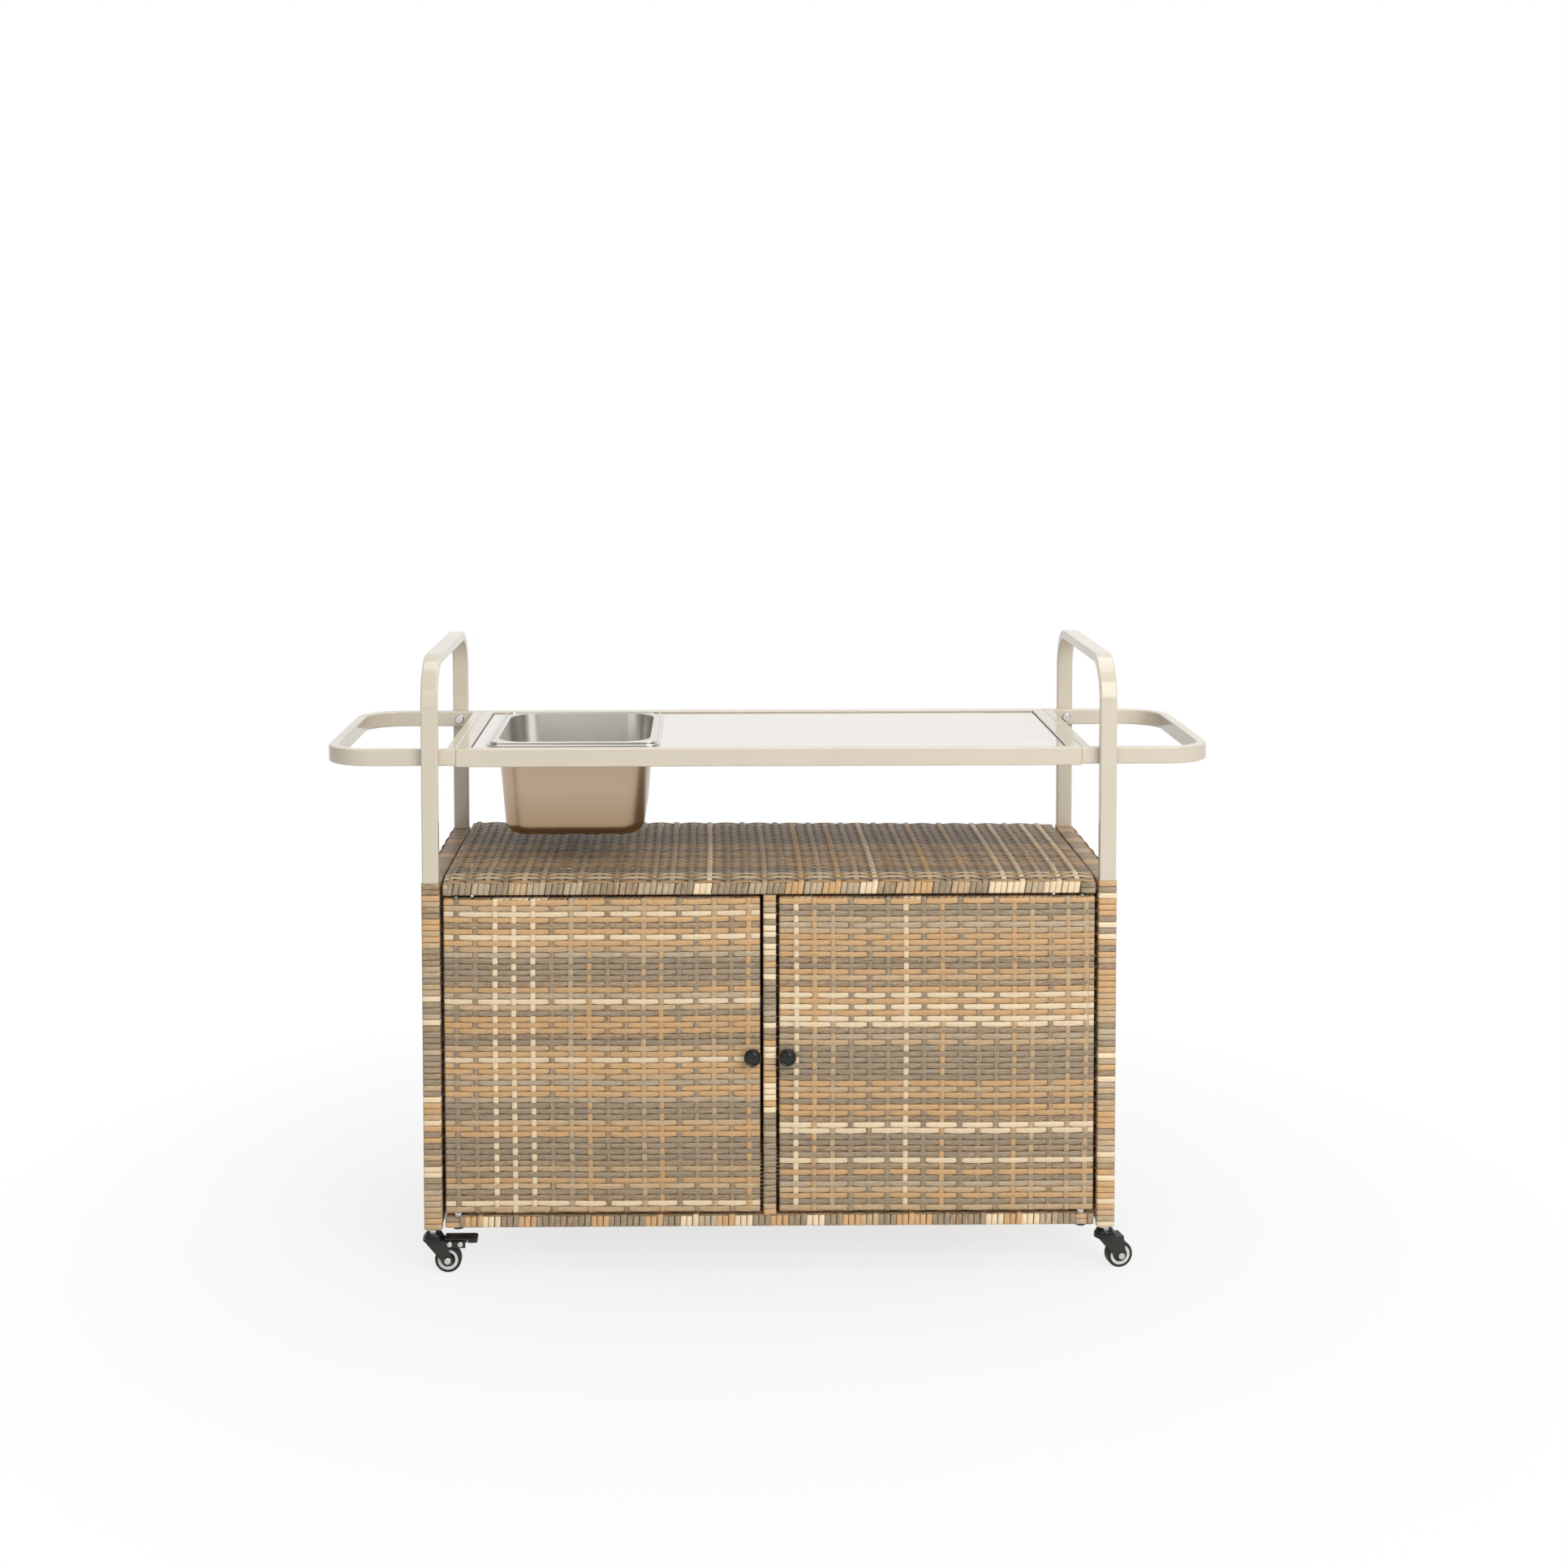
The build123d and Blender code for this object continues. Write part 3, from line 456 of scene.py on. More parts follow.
def strip_faces(count, closed):
    """Faces of a strip with count rings: its skin, and its two ends unless it closes on itself."""
    ring = len(SECTION)
    k = np.arange(count if closed else count - 1)[:, None]
    s = np.arange(ring)[None, :]
    after, beside = (k + 1) % count, (s + 1) % ring
    corners = [k * ring + s, after * ring + s, after * ring + beside, k * ring + beside]
    skin = np.stack(corners, -1).reshape(-1, 4)
    if closed:
        return skin
    return np.concatenate([skin, STRIP_END, STRIP_END[:, ::-1] + (count - 1) * ring])


def strip_layout(count, closed, run, around):
    """Texture places of a strip's face corners: the run along it and the share of the way round it."""
    ring = len(SECTION)
    k, s = np.divmod(np.arange((count if closed else count - 1) * ring), ring)
    along = run[k[:, None] + (0, 1, 1, 0)].ravel()
    turn = around[s[:, None] + (0, 0, 1, 1)].ravel()
    if not closed:
        along = np.concatenate([along, np.repeat(run[[0, -1]], STRIP_END.size)])
        turn = np.concatenate([turn, around[STRIP_END.ravel()], around[STRIP_END[:, ::-1].ravel()]])
    return along, turn


# A strip's rings of points, their places across it scaled by the share of its painted edge shade, the run along
# it, its colour and whether it is a loop
Strip = namedtuple("Strip", "points across run colour closed")


class Wicker:
    """Flat strips gathered into one mesh, each with its own colour and a place of its own in the texture.

    level: brightness of the strips, against their named colours
    """

    def __init__(self, seed, level=1.0):
        self.chance = np.random.default_rng(seed)
        self.level = level
        self.strips = []

    def add(self, path, normals, widths, colour, closed=False, wear=1.0):
        """One strip along path, facing normals, with wear as the share of its painted edge shade that shows."""
        step = np.diff(path, axis=0, append=path[:1] if closed else 2 * path[-1:] - path[-2:-1])
        length = np.linalg.norm(step, axis=1)
        ahead = step / length[:, None]
        behind = np.roll(ahead, 1, axis=0)
        if not closed:
            behind[0] = ahead[0]
            length = length[:-1]
        tangent = ahead + behind
        tangent /= np.linalg.norm(tangent, axis=1)[:, None]
        side = np.cross(normals, tangent)
        side /= np.linalg.norm(side, axis=1)[:, None]
        up = np.cross(tangent, side)
        across = SECTION[:, 0][None, :] * widths[:, None]
        lift = SECTION[:, 1][None, :] * STRIP_THICK
        points = path[:, None, :] + across[..., None] * side[:, None, :] + lift[..., None] * up[:, None, :]
        run = np.concatenate([[0.0], np.cumsum(length)])
        self.strips.append(Strip(points, across * wear, run, colour, closed))

    def texture_places(self):
        """Texture places of all face corners, with the strips one after another in rows of one length."""
        row_share = 0.9  # of a row's height that a strip fills
        slack = 1.0001  # lets a strip that just fits stay in its row
        edge = np.linalg.norm((np.roll(SECTION, -1, axis=0) - SECTION) * (WARP_WIDE, STRIP_THICK), axis=1)
        around = np.concatenate([[0.0], np.cumsum(edge)]) / edge.sum()
        lengths = [strip.run[-1] for strip in self.strips]
        square_side = math.sqrt(sum(lengths) * edge.sum() / row_share)
        row_length = max(lengths) * max(1, round(square_side / max(lengths)))
        used, row = 0.0, 0
        layout = []
        for strip in self.strips:
            if used + strip.run[-1] > row_length * slack:
                used, row = 0.0, row + 1
            along, turn = strip_layout(len(strip.points), strip.closed, strip.run, around)
            layout.append(np.stack([(used + along) / row_length, row + turn * row_share], -1))
            used += strip.run[-1]
        return np.concatenate(layout) / (1.0, row + 1.0)

    def build(self, name, body, *nodes):
        """Makes the mesh, as a piece that rides on a body in the place of the solid wicker."""
        points, faces, tints, flows = [], [], [], []
        base = 0
        for strip in self.strips:
            count, ring = strip.points.shape[:2]
            points.append(strip.points.reshape(-1, 3))
            faces.append(base + strip_faces(count, strip.closed))
            base += count * ring
            rgb, grain = STRIP_COLOURS[strip.colour]
            tint = np.array(linear(rgb)) * self.level * self.chance.uniform(*TINT_RANGE)
            tint[3] = grain
            tints.append(np.tile(tint, (count * ring, 1)))
            flow = np.empty((count, ring, 3))
            flow[..., 0] = strip.run[:count, None]
            flow[..., 1] = strip.across
            flow[..., 2] = self.chance.uniform(0, GRAIN_RANGE)
            flows.append(flow.reshape(-1, 3))
        mesh = bpy.data.meshes.new(name)
        mesh.from_pydata(np.concatenate(points), [], np.concatenate(faces))
        mesh.shade_smooth()
        add_attribute(mesh, "tint", "FLOAT_COLOR", "color", tints)
        add_attribute(mesh, "flow", "FLOAT_VECTOR", "vector", flows)
        mesh.uv_layers.new(name="OFBake").data.foreach_set("uv", self.texture_places().ravel())
        mesh.materials.append(MATERIALS["wicker"])
        add_piece(name, mesh, "wicker", body, *nodes)


def rounded(points, radius=CORNER_RADIUS):
    """Points of a polyline in a plane with each square corner rounded by an arc."""
    points = np.asarray(points, float)
    made = [points[0]]
    for before, corner, after in zip(points[:-2], points[1:-1], points[2:]):
        back, on = before - corner, after - corner
        back, on = back / np.linalg.norm(back), on / np.linalg.norm(on)
        centre = corner + (back + on) * radius
        for t in np.linspace(0, math.pi / 2, CORNER_STEPS + 1):
            made.append(centre - (on * math.cos(t) + back * math.sin(t)) * radius)
    made.append(points[-1])
    return np.array(made)


def round_tube(edge, deep, start, rise):
    """Line that takes a strip from its start over a tube's outer side and back and up its inner side.

    rise: how much higher it runs on the tube's face
    """
    out = edge + STRIP_LIFT
    top = deep + STRIP_LIFT
    inner = edge - TUBE - STRIP_LIFT
    end = (inner, top - STRIP_TUCK)
    return rounded([(start, top + rise), (out, top + rise), (out, -top), (inner, -top), end])


def turned(line):
    """Normals of a line in a plane, a quarter turn left of its direction."""
    step = np.diff(line, axis=0)
    step /= np.linalg.norm(step, axis=1)[:, None]
    tangent = np.concatenate([step[:1], step[:-1] + step[1:], step[-1:]])
    tangent /= np.linalg.norm(tangent, axis=1)[:, None]
    return np.stack([-tangent[:, 1], tangent[:, 0]], -1)


class Place:
    """A panel's own frame: along its wefts, up its warps and out of its face."""

    def __init__(self, centre, along, up):
        self.centre = np.array(centre, float)
        self.along = np.array(along, float)
        self.up = np.array(up, float)
        self.out = np.cross(self.along, self.up)

    def points(self, a, b, h):
        return self.centre + np.outer(a, self.along) + np.outer(b, self.up) + np.outer(h, self.out)

    def weft(self, line, across, slope):
        """Points and normals of a strip that runs along the wefts, on a face that slopes across them."""
        n = turned(line)
        facing = np.outer(n[:, 0], self.along) + np.outer(n[:, 1], self.out - slope * self.up)
        return self.points(line[:, 0], across, line[:, 1]), facing

    def warp(self, line, across):
        """Points and normals of a strip that runs along the warps."""
        n = turned(line)
        facing = np.outer(n[:, 0], self.up) + np.outer(n[:, 1], self.out)
        return self.points(across, line[:, 0], line[:, 1]), facing


def waved(knots, heights, steps):
    """Positions and heights along a strip that eases from each crossing's height to the next."""
    share = np.arange(steps) / steps
    ease = (1 - np.cos(math.pi * share)) / 2
    run = (knots[:-1, None] + np.diff(knots)[:, None] * share).ravel()
    rise = (heights[:-1, None] + np.diff(heights)[:, None] * ease).ravel()
    return np.append(run, knots[-1]), np.append(rise, heights[-1])


class Weave:
    """Plain weave on a frame of tubes: wefts that wrap its side tubes, and warps wound round its end tubes.

    half_a, half_b: half the panel's size along its wefts and along its warps
    rows, warps: colours of the wefts from the upper end and of the warps from the left
    deep: from the panel's middle to the face of its tubes
    parity: 0 where the first weft goes under the first warp, 1 where it goes over it
    margins: the first and the last warp's distance from the panel's sides
    turn_side: 1 where a warp's turns come after it, -1 where they come before it
    lean: sideways slope of the turns through the panel's depth
    ragged: how much the rows differ in width
    steps: points on a weft from one warp to the next
    reach: lowest and highest edge of the rows, if they go past the end tubes
    turn_margin: least distance of a turn from the side tubes' outer faces
    bands: strips laid along an end tube where nothing is wound round it, by end and side, as the distances
        from the corner between which nothing is wound and the strips' two colours
    weft_wave, warp_wave: how far the wefts and the warps rise and dip
    fill: share of its height that a row's strip covers
    pinch: how much narrower a weft is under a warp
    turn_edge_shade: share of their painted edge shade that the warps and turns show
    bow: how far the warps stray to the right in the panel's middle
    crown: how far the face stands above the tubes behind the lower end, and at the upper end's left and right
    levels: brightness of the wefts and of the warps, against their named colours
    """

    def __init__(self, place, half_a, half_b, rows, warps, seed, deep=TUBE / 2, parity=0,
                 margins=(0.02, 0.02), turn_side=1, lean=0.0, ragged=0.03, steps=8, reach=None,
                 turn_margin=0.003, bands=None, weft_wave=WEFT_WAVE, warp_wave=WARP_WAVE, fill=STRIP_FILL,
                 pinch=DIVE_NARROW, turn_edge_shade=1.0, bow=0.0, crown=(0.0, 0.0, 0.0), levels=(1.0, 1.0)):
        self.place = place
        self.edge_a = half_a - WRAP  # outer faces of the tubes
        self.edge_b = half_b - WRAP
        self.deep = deep
        self.rows = rows
        self.warps = warps
        self.seed = seed
        self.parity = parity
        self.turn_side = turn_side
        self.lean = lean
        self.steps = steps
        self.turn_margin = turn_margin
        self.bands = bands or {}
        self.weft_wave = weft_wave
        self.warp_wave = warp_wave
        self.pinch = pinch
        self.turn_edge_shade = turn_edge_shade
        self.crown = crown
        self.levels = levels
        self.chance = np.random.default_rng(seed)
        self.middle = deep + STRIP_LIFT + weft_wave
        low, high = reach or (-self.edge_b, self.edge_b)
        heights = 1 + ragged * self.chance.uniform(-1, 1, len(rows))
        heights *= (high - low) / heights.sum()
        self.row_b = high - np.cumsum(heights) + heights / 2
        self.row_wide = heights * fill
        self.warp_a = np.linspace(margins[0] - half_a, half_a - margins[1], len(warps))
        self.turn_pitch = (self.warp_a[1] - self.warp_a[0]) / TURNS_PER_WARP
        self.warp_a = self.warp_a + self.chance.uniform(-WARP_STRAY, WARP_STRAY, len(warps))
        self.warp_a += bow * np.sin(np.linspace(0, math.pi, len(warps)))
        self.phase = self.chance.uniform(0, 2 * math.pi, 3)
        self.turn_spots = {1: [], -1: []}

    def sway(self, a, b):
        """How far the rows stray up or down: nearly the same for neighbours, so that they keep apart."""
        slow = SLOW_SWAY * np.sin(a * SLOW_WAVE[0] + b * SLOW_WAVE[1] + self.phase[0])
        return slow + QUICK_SWAY * np.sin(a * QUICK_WAVE[0] + b * QUICK_WAVE[1] + self.phase[1])

    def drift(self, b):
        """How far the warps stray sideways."""
        return WARP_DRIFT * np.sin(b * DRIFT_WAVE + self.phase[2])

    def lift(self, a, b):
        """How far the face stands above the tubes: it rises from the lower end and runs on to the upper."""
        front, left, right = self.crown
        in_share = np.sin(np.clip((b + self.edge_b) / CROWN_RUN, 0, 1) * math.pi / 2)
        far = left + (right - left) * (a + self.edge_a) / (2 * self.edge_a)
        return in_share * (front + (far - front) * (b + self.edge_b) / (2 * self.edge_b))

    def slope(self, b):
        """How steeply the face rises at a row."""
        step = 0.001
        return (self.lift(0.0, b + step) - self.lift(0.0, b - step)) / (2 * step)

    def over(self, row, warp):
        """1 where the weft passes over the warp, -1 where it passes under."""
        return np.where((row + warp + self.parity) % 2 == 0, -1, 1)

    def lay_wefts(self):
        """The wefts, with their turns round the side tubes."""
        made = Wicker(self.seed + 1, self.levels[0])
        inner = self.edge_a - WEFT_END
        start = self.edge_a - WEFT_TURN
        for row, colour in enumerate(self.rows):
            b = self.row_b[row]
            left = round_tube(self.edge_a, self.deep, start, self.lift(-start, b))
            right = round_tube(self.edge_a, self.deep, start, self.lift(start, b))
            signs = self.over(row, np.arange(len(self.warps)))
            knots = np.concatenate([[-inner], self.warp_a + self.drift(b), [inner]])
            heights = self.middle + self.weft_wave * np.concatenate([[-1], signs, [-1]])
            run, rise = waved(knots, heights, self.steps)
            raised = rise + self.lift(run, b)
            line = np.concatenate([left[::-1] * (-1, 1), np.stack([run, raised], -1), right])
            path, normals = self.place.weft(line, b + self.sway(line[:, 0], b), self.slope(b))
            dive = np.clip((self.middle - rise) / self.weft_wave, -1, 1) * 0.5 + 0.5
            dive[np.abs(run) > inner - WEFT_EVEN] = 0
            wide = np.pad(1 - self.pinch * dive**DIVE_POWER, len(left), constant_values=1)
            made.add(path, normals, wide * self.row_wide[row], colour)
        return made

    def wound(self, end, a):
        """Whether a turn can go round the tube at the upper (1) or lower (-1) end at a."""
        place = self.edge_a - abs(a)
        band = self.bands.get((end, 1 if a > 0 else -1))
        clear = TURN_ROOM * self.turn_pitch
        free = band is None or place > band[0] + clear or place < band[1] - clear
        return free and place > self.turn_margin

    def lay_turn(self, made, end, a, colour):
        """One turn of a strip round the tube at an end."""
        start = self.edge_b - TURN_START
        line = round_tube(self.edge_b, self.deep, start, self.lift(a, end * start))
        if end < 0:
            line = line[::-1] * (-1, 1)
        lean = self.lean + self.chance.uniform(-TURN_LEAN, TURN_LEAN)
        path, normals = self.place.warp(line, a + lean * (line[:, 1] - self.deep))
        wide = self.turn_pitch * self.chance.uniform(*TURN_FILL)
        made.add(path, normals, np.full(len(line), wide), colour, wear=self.turn_edge_shade)
        self.turn_spots[end].append(a)

    def lay_band(self, made, end, side, stop, colours):
        """Strips along an end tube from the last turn to stop, one on each half of the tube's depth.

        They go round the corner where stop is 0.
        """
        out = self.edge_b + STRIP_LIFT
        corner = self.edge_a + STRIP_LIFT
        spots = self.edge_a - side * np.append(self.turn_spots[end], self.warp_a)
        start = min(s for s in spots if s > stop) - self.turn_pitch / 2
        line = np.array([(self.edge_a - start, out), (self.edge_a - stop, out)])
        if stop == 0:
            line = rounded([line[0], (corner, out), (corner, out - TURN_START)])
        normals = -turned(line[::-1])[::-1] * (side, end)
        line = line * (side, end)
        top = self.deep + STRIP_LIFT
        wide = top + self.lift(side * self.edge_a, end * self.edge_b) / 2
        facing = np.outer(normals[:, 0], self.place.along) + np.outer(normals[:, 1], self.place.up)
        for height, colour in zip((1.5 * wide - top, 0.5 * wide - top), colours):
            path = self.place.points(line[:, 0], line[:, 1], np.full(len(line), height))
            made.add(path, facing, np.full(len(line), wide * STRIP_FILL), colour)

    def lay_warps(self):
        """The warps, their turns round the end tubes and the bands beside the turns."""
        made = Wicker(self.seed + 2, self.levels[1])
        start = self.edge_b - TURN_START
        last = start - WARP_LAST
        # A warp that passes over the last weft goes on over the rail above it
        above = {1: 0.0, -1: STRIP_THICK + STRIP_SEAT}
        for warp, colour in enumerate(self.warps):
            a = self.warp_a[warp]
            signs = self.over(np.arange(len(self.rows)), warp)[::-1]
            knots = np.clip(self.row_b[::-1], -last, last)
            run, rise = waved(knots, self.middle - self.warp_wave * signs, WARP_STEPS)
            low = round_tube(self.edge_b, self.deep, start, above[signs[0]] + self.lift(a, -start))
            high = round_tube(self.edge_b, self.deep, start, above[signs[-1]] + self.lift(a, start))
            line = np.concatenate([low[::-1] * (-1, 1), np.stack([run, rise + self.lift(a, run)], -1), high])
            below = np.minimum(line[:, 1] - self.deep, 0)
            path, normals = self.place.warp(line, a + self.drift(line[:, 0]) + self.lean * below)
            turn_wide = self.turn_pitch * WARP_TURN_FILL
            wide = np.pad(np.full(len(run), WARP_WIDE), len(low), constant_values=turn_wide)
            made.add(path, normals, wide, colour, wear=self.turn_edge_shade)
            for k in range(1, TURNS_PER_WARP):
                spot = a + self.turn_side * self.turn_pitch * k
                for end in (1, -1):
                    if self.wound(end, spot):
                        self.lay_turn(made, end, spot, colour)
        self.fill_ends(made)
        for (end, side), (_, stop, *colours) in self.bands.items():
            self.lay_band(made, end, side, stop, colours)
        return made

    def fill_ends(self, made):
        """Turns from the outermost ones to the corners."""
        beyond = self.turn_pitch * (TURNS_PER_WARP - 1)
        low = self.warp_a[0] - (beyond if self.turn_side < 0 else 0)
        high = self.warp_a[-1] + (beyond if self.turn_side > 0 else 0)
        for end in (1, -1):
            for spot in np.arange(low - self.turn_pitch, -self.edge_a, -self.turn_pitch):
                if self.wound(end, spot):
                    self.lay_turn(made, end, spot, self.warps[0])
            for spot in np.arange(high + self.turn_pitch, self.edge_a, self.turn_pitch):
                if self.wound(end, spot):
                    self.lay_turn(made, end, spot, self.warps[-1])

    def build(self, name, body, *nodes):
        """Both pieces of the weave, in the place of the solid wicker."""
        self.lay_wefts().build(name + "_wefts", body, *nodes)
        self.lay_warps().build(name + "_warps", body, *nodes)


def corner_bands(long, colour):
    """Bands of one length and colour at all four corners."""
    return {(end, side): (long, 0, colour, colour) for end in (1, -1) for side in (1, -1)}


def banded(count, seed, shares=PLAIN_SHARES):
    """Colours for strips that the photograph doesn't show, in the same irregular bands."""
    chance = np.random.default_rng(seed)
    names = list(STRIP_COLOURS)
    made = []
    while len(made) < count:
        made += [names[chance.choice(len(names), p=shares)]] * chance.integers(1, BAND_ROWS + 1)
    return made[:count]


def build_doors():
    """Both doors, with their strips in the photograph's order."""
    for name, rows, warps, parity, margins, bow, seed in (
        ("left_door", LEFT_ROWS, LEFT_WARPS, 0, (0.0194, 0.0178), 0.0073, 100),
        ("right_door", RIGHT_ROWS, RIGHT_WARPS, 1, (0.0252, 0.0134), 0.002, 200),
    ):
        centre, half = middle_of(name + "_weave")
        weave = Weave(
            Place(centre, X, Z), half[0], half[2], rows, warps, seed, parity=parity, margins=margins,
            lean=-0.25, bow=bow, bands=corner_bands(long=0.012, colour="tan"),
        )
        weave.build(name, name, name + "_weave")


def build_shelf():
    """The shelf's woven top, crowned behind its front edge."""
    row_count, seed = 56, 300
    band = 0.013
    centre, half = middle_of("shelf_weave")
    rows = banded(row_count - len(SHELF_ROWS), seed, DARK_SHARES) + SHELF_ROWS[::-1]
    bands = corner_bands(band, "taupe")
    bands[-1, -1] = (band, 0, "pale", "taupe")
    # The wefts' level of 0.8 is painted shade, as under the table and between the beads; the warps' 1.06 is
    # painted light on their raised beads
    weave = Weave(
        Place(centre, X, Y), half[0], half[1], rows, SHELF_WARPS, seed, margins=(0.0125, 0.0265),
        turn_side=-1, lean=0.17, bands=bands, weft_wave=0.0009, warp_wave=0.0018, fill=0.96, pinch=0.4,
        crown=(0.0065, 0.007, 0.001), levels=(0.8, 1.06),
    )
    weave.build("shelf", "frame", "shelf_weave")


def build_cabinet_floor():
    """The cabinet's floor, whose front edge shows below the doors."""
    row_count, seed = 50, 400
    band = 0.0205
    centre, half = middle_of("floor_weave")
    rows = banded(row_count - len(FLOOR_ROWS), seed) + FLOOR_ROWS[::-1]
    bands = corner_bands(band, "taupe")
    bands[-1, -1] = (band, 0, "taupe", "tan")
    bands[-1, 1] = (0.0275, 0.009, "tan", "pale")
    weave = Weave(
        Place(centre, X, Y), half[0], half[1], rows, FLOOR_WARPS, seed, margins=(0.0254, 0.0319),
        turn_side=-1, lean=0.05, steps=6, bands=bands, levels=(1.0, 1.13),
    )
    weave.build("floor", "frame", "floor_weave")


def build_back():
    """The cabinet's back panel."""
    rows = banded(count=55, seed=500)
    warps = banded(count=36, seed=501)
    centre, half = middle_of("back_weave")
    weave = Weave(
        Place(centre, -X, Z), half[0], half[2], rows, warps, seed=502, lean=-0.1, steps=6,
        bands=corner_bands(long=0.013, colour="light"),
    )
    weave.build("back", "frame", "back_weave")


def build_sides():
    """Side panels, whose wefts go round the posts at both ends."""
    low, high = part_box("post_wraps")
    for name, rows, warps, out, seed in (
        ("left_side", LEFT_POST_ROWS, LEFT_RAIL_WARPS[::-1], -1, 609),
        ("right_side", RIGHT_POST_ROWS, RIGHT_RAIL_WARPS, 1, 611),
    ):
        centre, half = middle_of(name + "_weave")
        weave = Weave(
            Place(centre, Y * out, Z), (high.y - low.y) / 2, half[2], rows, warps, seed, deep=POST_DEPTH / 2,
            margins=(0.0245, 0.0245), ragged=0.04, reach=(low.z - centre[2], high.z - centre[2]),
            turn_margin=TUBE + 2 * WRAP, turn_edge_shade=0.78, levels=(1.1, 1.0),
        )
        weave.build(name, "frame", name + "_weave", "post_wraps")


def build_centre_post():
    """Strips wound round the post between the doors."""
    stray = 0.0003  # of single turns, up or down
    lean_range = (-0.03, 0.05)
    made = Wicker(seed=700, level=1.12)
    centre, half = middle_of("centre_post_wrap")
    reach = half[0]
    corners = [(0, -reach), (reach, -reach), (reach, reach), (-reach, reach), (-reach, -reach), (0, -reach)]
    line = rounded(corners)[:-1]
    normals = -turned(line)
    normals[0] = (0, -1)
    facing = np.column_stack([normals, np.zeros(len(line))])
    pitch = 2 * half[2] / len(CENTRE_POST_ROWS)
    for row, colour in enumerate(CENTRE_POST_ROWS):
        z = half[2] - pitch * (row + 0.5) + made.chance.uniform(-stray, stray)
        lean = made.chance.uniform(*lean_range)
        path = centre + np.column_stack([line, z + line[:, 0] * lean])
        made.add(path, facing, np.full(len(line), pitch * STRIP_FILL), colour, closed=True)
    made.build("centre_post_winding", "frame", "centre_post_wrap")


def curve_through(points, steps):
    """A smooth line through the points of a profile, with so many steps from each to the next."""
    padded = np.concatenate([2 * points[:1] - points[1:2], points, 2 * points[-1:] - points[-2:-1]])
    t = (np.arange(steps) / steps)[:, None]
    made = []
    for before, a, b, after in zip(padded[:-3], padded[1:-2], padded[2:-1], padded[3:]):
        bend = 2 * before - 5 * a + 4 * b - after
        twist = 3 * a - before - 3 * b + after
        made.append(a + ((b - before) * t + bend * t**2 + twist * t**3) / 2)
    return np.concatenate(made + [points[-1:]])


def lathe_faces(rings, sides):
    """Faces of a turned form whose points are its foot's middle, the rings from there up and its crown."""
    faces = []
    top = 1 + (rings - 1) * sides
    for k in range(sides):
        after = (k + 1) % sides
        faces.append((0, 1 + after, 1 + k))
        for start in range(1, top, sides):
            faces.append((start + k, start + after, start + sides + after, start + sides + k))
        faces.append((top + k, top + after, top + sides))
    return faces


def build_knobs():
    """Turned knobs: a waisted foot, a rounded rim, a groove inside it and a low dome."""
    sides = 64
    steps = 4
    # Radius and height above the door: the foot's edge, and then from there to the crown
    foot_edge = np.array([(0.007, 0)])
    profile = np.array([
        (0.007, 0.0012), (0.0051, 0.0042), (0.0072, 0.0086), (0.0114, 0.0105), (0.0133, 0.014),
        (0.0112, 0.0181), (0.0093, 0.0173), (0.007, 0.0189), (0, 0.0202),
    ])
    rings = np.concatenate([foot_edge, curve_through(profile, steps)[:-1]])
    turns = np.linspace(0, 2 * math.pi, sides, endpoint=False)
    for name in ("left_door", "right_door"):
        low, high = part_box(name + "_knob")
        middle = (low + high) / 2
        foot = Vector((middle.x, high.y, middle.z))
        points = [foot]
        for radius, rise in rings:
            points += [foot + Vector((radius * math.cos(t), -rise, radius * math.sin(t))) for t in turns]
        points.append(foot + Vector((0, -profile[-1, 1], 0)))
        mesh = bpy.data.meshes.new(name + "_turned_knob")
        mesh.from_pydata(points, [], lathe_faces(len(rings), sides))
        mesh.shade_smooth()
        mesh.materials.append(MATERIALS["black_gloss"])
        add_piece(name + "_turned_knob", mesh, "black_gloss", name, name + "_knob")


def build_glass_shade_bead():
    """Painted shadow: a thin dark bead round the glass that stands in for the shade in the gap between it and the
    table's rails.
    """
    bead_high, bead_deep = 0.0003, 0.001  # above and below the glass's face
    bead_wide, bead_lap = 0.0009, 0.0002  # outside and inside the glass's edge
    low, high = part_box("glass_top")
    points = []
    for z in (high.z - bead_deep, high.z + bead_high):
        for out in (-bead_lap, bead_wide):
            x0, x1, y0, y1 = low.x - out, high.x + out, low.y - out, high.y + out
            points += [(x0, y0, z), (x1, y0, z), (x1, y1, z), (x0, y1, z)]
    faces = []
    for k in range(4):
        after = (k + 1) % 4
        # First points of the loops that each side of the bead joins
        for a, b in ((0, 4), (4, 12), (12, 8), (8, 0)):
            faces.append((b + k, b + after, a + after, a + k))
    mesh = bpy.data.meshes.new("glass_shade_bead")
    mesh.from_pydata(points, [], faces)
    mesh.materials.append(MATERIALS["shade_bead"])
    add_piece("glass_shade_bead", mesh, "soft_strip", "frame")


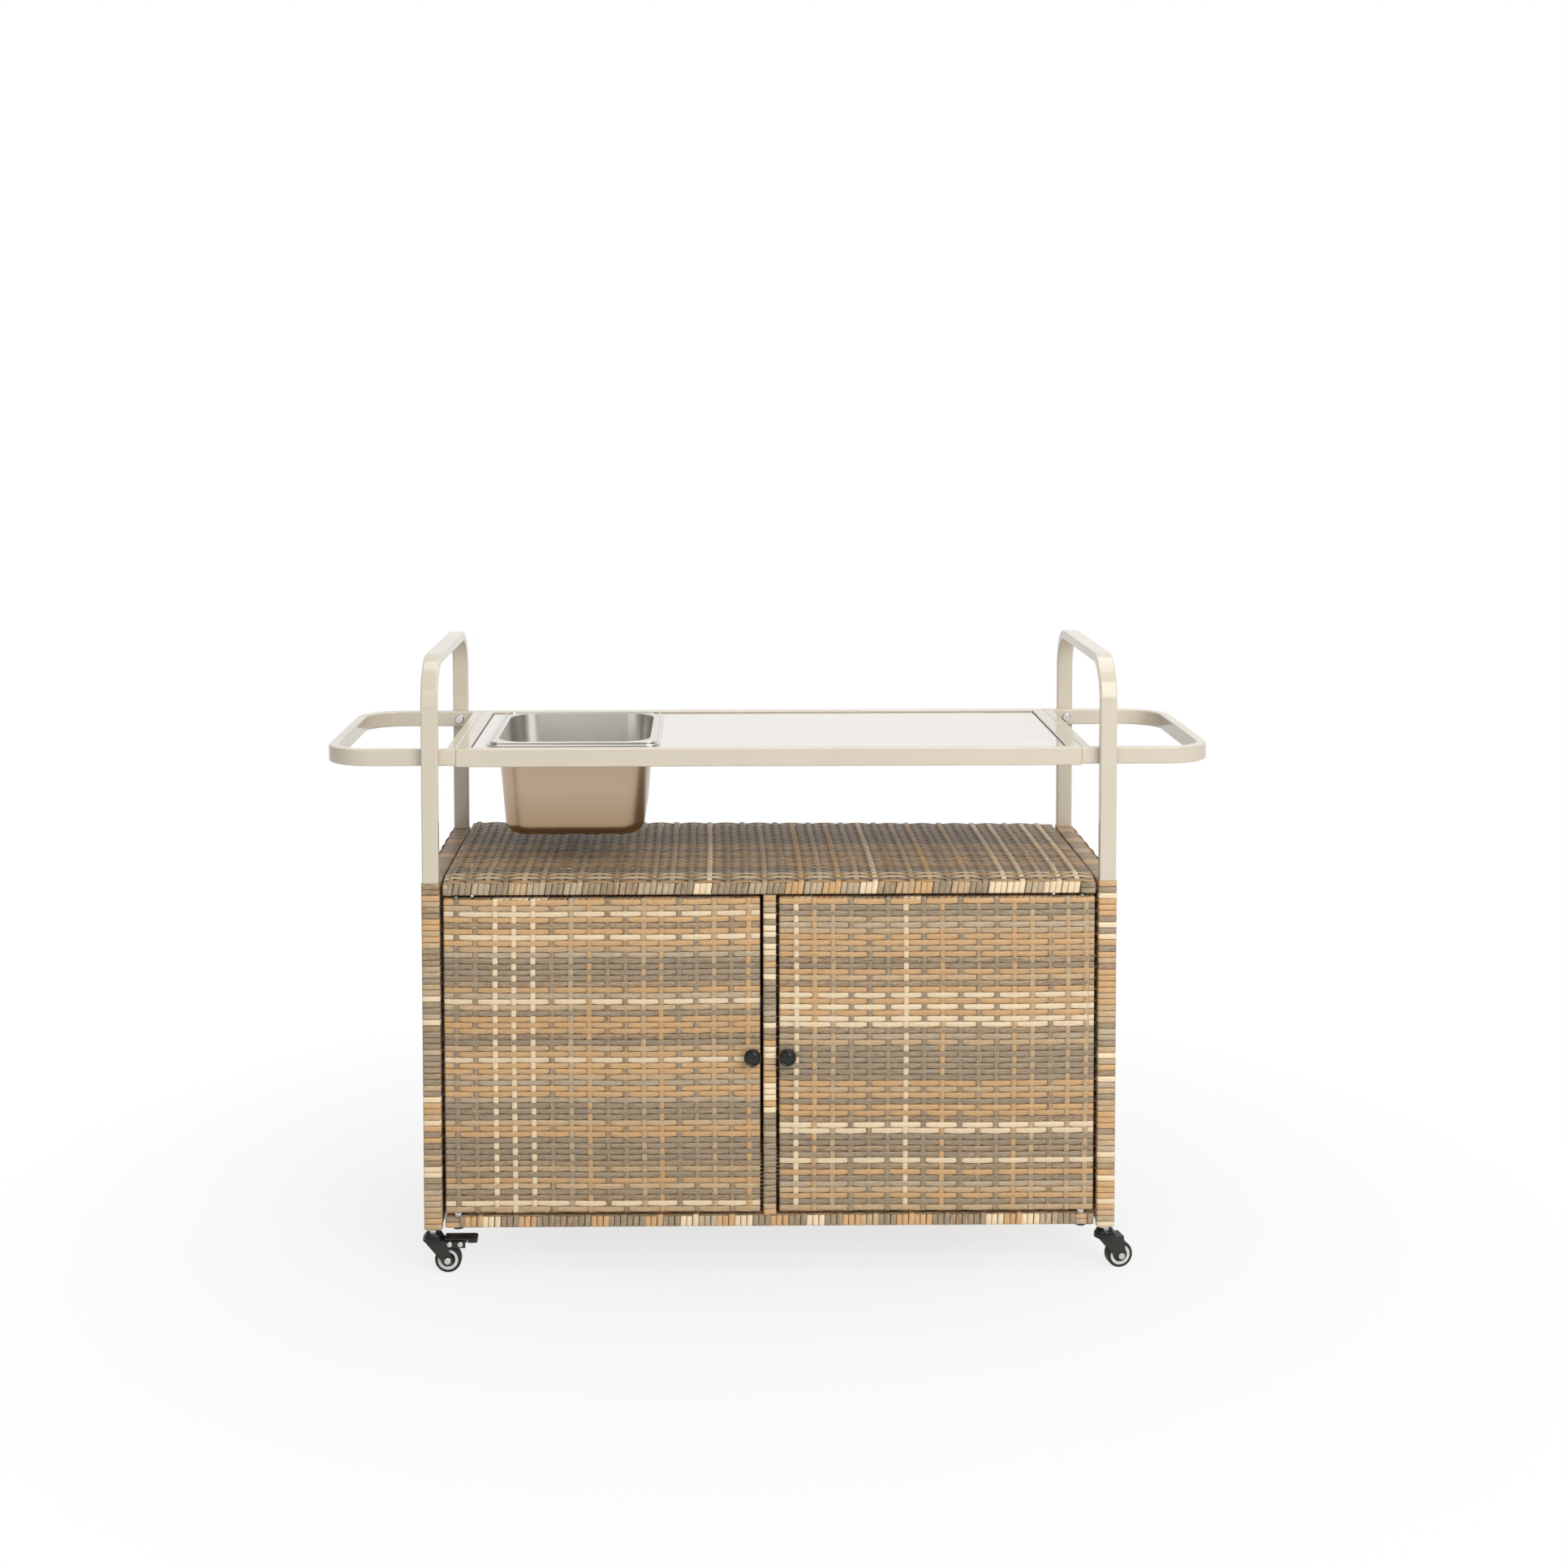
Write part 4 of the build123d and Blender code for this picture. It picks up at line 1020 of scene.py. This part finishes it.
def build_camera():
    """The photograph's camera."""
    yaw, pitch, roll = (math.radians(v) for v in (CAMERA_YAW, CAMERA_PITCH, CAMERA_ROLL))
    ahead = Vector((math.sin(yaw) * math.cos(pitch), math.cos(yaw) * math.cos(pitch), -math.sin(pitch)))
    right = Vector((math.cos(yaw), -math.sin(yaw), 0))
    up = right.cross(ahead)
    turn = Matrix.Rotation(-roll, 3, ahead)
    right, up = turn @ right, turn @ up
    data = bpy.data.cameras.new("camera")
    data.sensor_width = SENSOR_MM
    data.lens = FOCAL_PIXELS * SENSOR_MM / IMAGE_SIDE
    data.shift_x = 0.5 - PRINCIPAL_PIXEL[0] / IMAGE_SIDE
    data.shift_y = PRINCIPAL_PIXEL[1] / IMAGE_SIDE - 0.5
    data.clip_end = FAR_CLIP
    camera = add_object("camera", data)
    facing = Matrix((right, up, -ahead)).transposed().to_4x4()
    camera.matrix_world = Matrix.Translation(CAMERA_PLACE) @ facing
    bpy.context.scene.camera = camera


def seen_share(g, gloss_share):
    """1 for rays from the camera, gloss_share for rays off gloss or through glass, 0 for the rest."""
    path = g.add("LightPath").outputs
    gloss = g.maths("MAXIMUM", path["Is Glossy Ray"], path["Is Transmission Ray"])
    return g.maths("MAXIMUM", path["Is Camera Ray"], g.maths("MULTIPLY", gloss, gloss_share))


def behind_share(g):
    """1 for directions to the backdrop behind the object, falling to 0 in front of it."""
    front, back = -0.2, 0.5  # of a direction's Y
    return g.spread(g.part(g.add("TexCoord").outputs["Generated"], "Y"), 0.0, 1.0, front, back)


def build_world():
    """White to the eye and behind the object, and a soft even light on it."""
    light_level, white_level = 0.2, 1.0
    world = bpy.data.worlds.new("studio")
    bpy.context.scene.world = world
    world.use_nodes = True
    g = Nodes(world.node_tree)
    background = g.tree.nodes["Background"]
    g.feed(background.inputs["Color"], (1, 1, 1, 1))
    level = g.spread(seen_share(g, behind_share(g)), light_level, white_level, 0.0, 1.0)
    g.feed(background.inputs["Strength"], level)


def build_floor():
    """Pale floor that keeps the shadow near the object and fades to white further out."""
    reach = 30.0
    fade_start, fade_end = 0.3, 1.3
    near_white = 0.75  # share of plain white under the object
    g = Graph("studio_floor")
    g.set(Base_Color=linear((232, 231, 229)), Roughness=0.9, Specular_IOR_Level=0.1)
    away = g.length(g.add("TexCoord").outputs["Object"])
    far = g.spread(away, near_white, 1.0, fade_start, fade_end)
    share = g.maths("MULTIPLY", far, seen_share(g, far))
    white = g.add("Emission").outputs[0]
    mixed = g.add("MixShader", {0: share, 1: g.shader.outputs[0], 2: white})
    g.feed(g.tree.nodes["Material Output"].inputs["Surface"], mixed.outputs[0])
    corners = [(-reach, -reach, 0), (reach, -reach, 0), (reach, reach, 0), (-reach, reach, 0)]
    mesh = bpy.data.meshes.new("studio_floor")
    mesh.from_pydata(corners, [], [(0, 1, 2, 3)])
    mesh.materials.append(g.material)
    floor = add_object("studio_floor", mesh)


def build_lights():
    """Large soft lamps: the main one high in front on the right, a weaker one on the left and one above."""
    aim = Vector((0, 0, 0.5))
    for name, place, size, power in (
        ("main_lamp", (1.9, -3.3, 2.6), 2.6, 105),
        ("left_lamp", (-1.6, -3.6, 1.8), 2.4, 28),
        ("top_lamp", (0.3, 0.2, 3.4), 2.6, 48),
    ):
        data = bpy.data.lights.new(name, "AREA")
        data.size = size
        data.energy = power
        lamp = add_object(name, data)
        facing = (aim - Vector(place)).to_track_quat("-Z", "Y").to_matrix().to_4x4()
        lamp.matrix_world = Matrix.Translation(place) @ facing


dress_nodes()
build_doors()
build_shelf()
build_cabinet_floor()
build_back()
build_sides()
build_centre_post()
build_knobs()
build_glass_shade_bead()
build_camera()
build_world()
build_floor()
build_lights()
bpy.context.scene.view_settings.view_transform = "Standard"
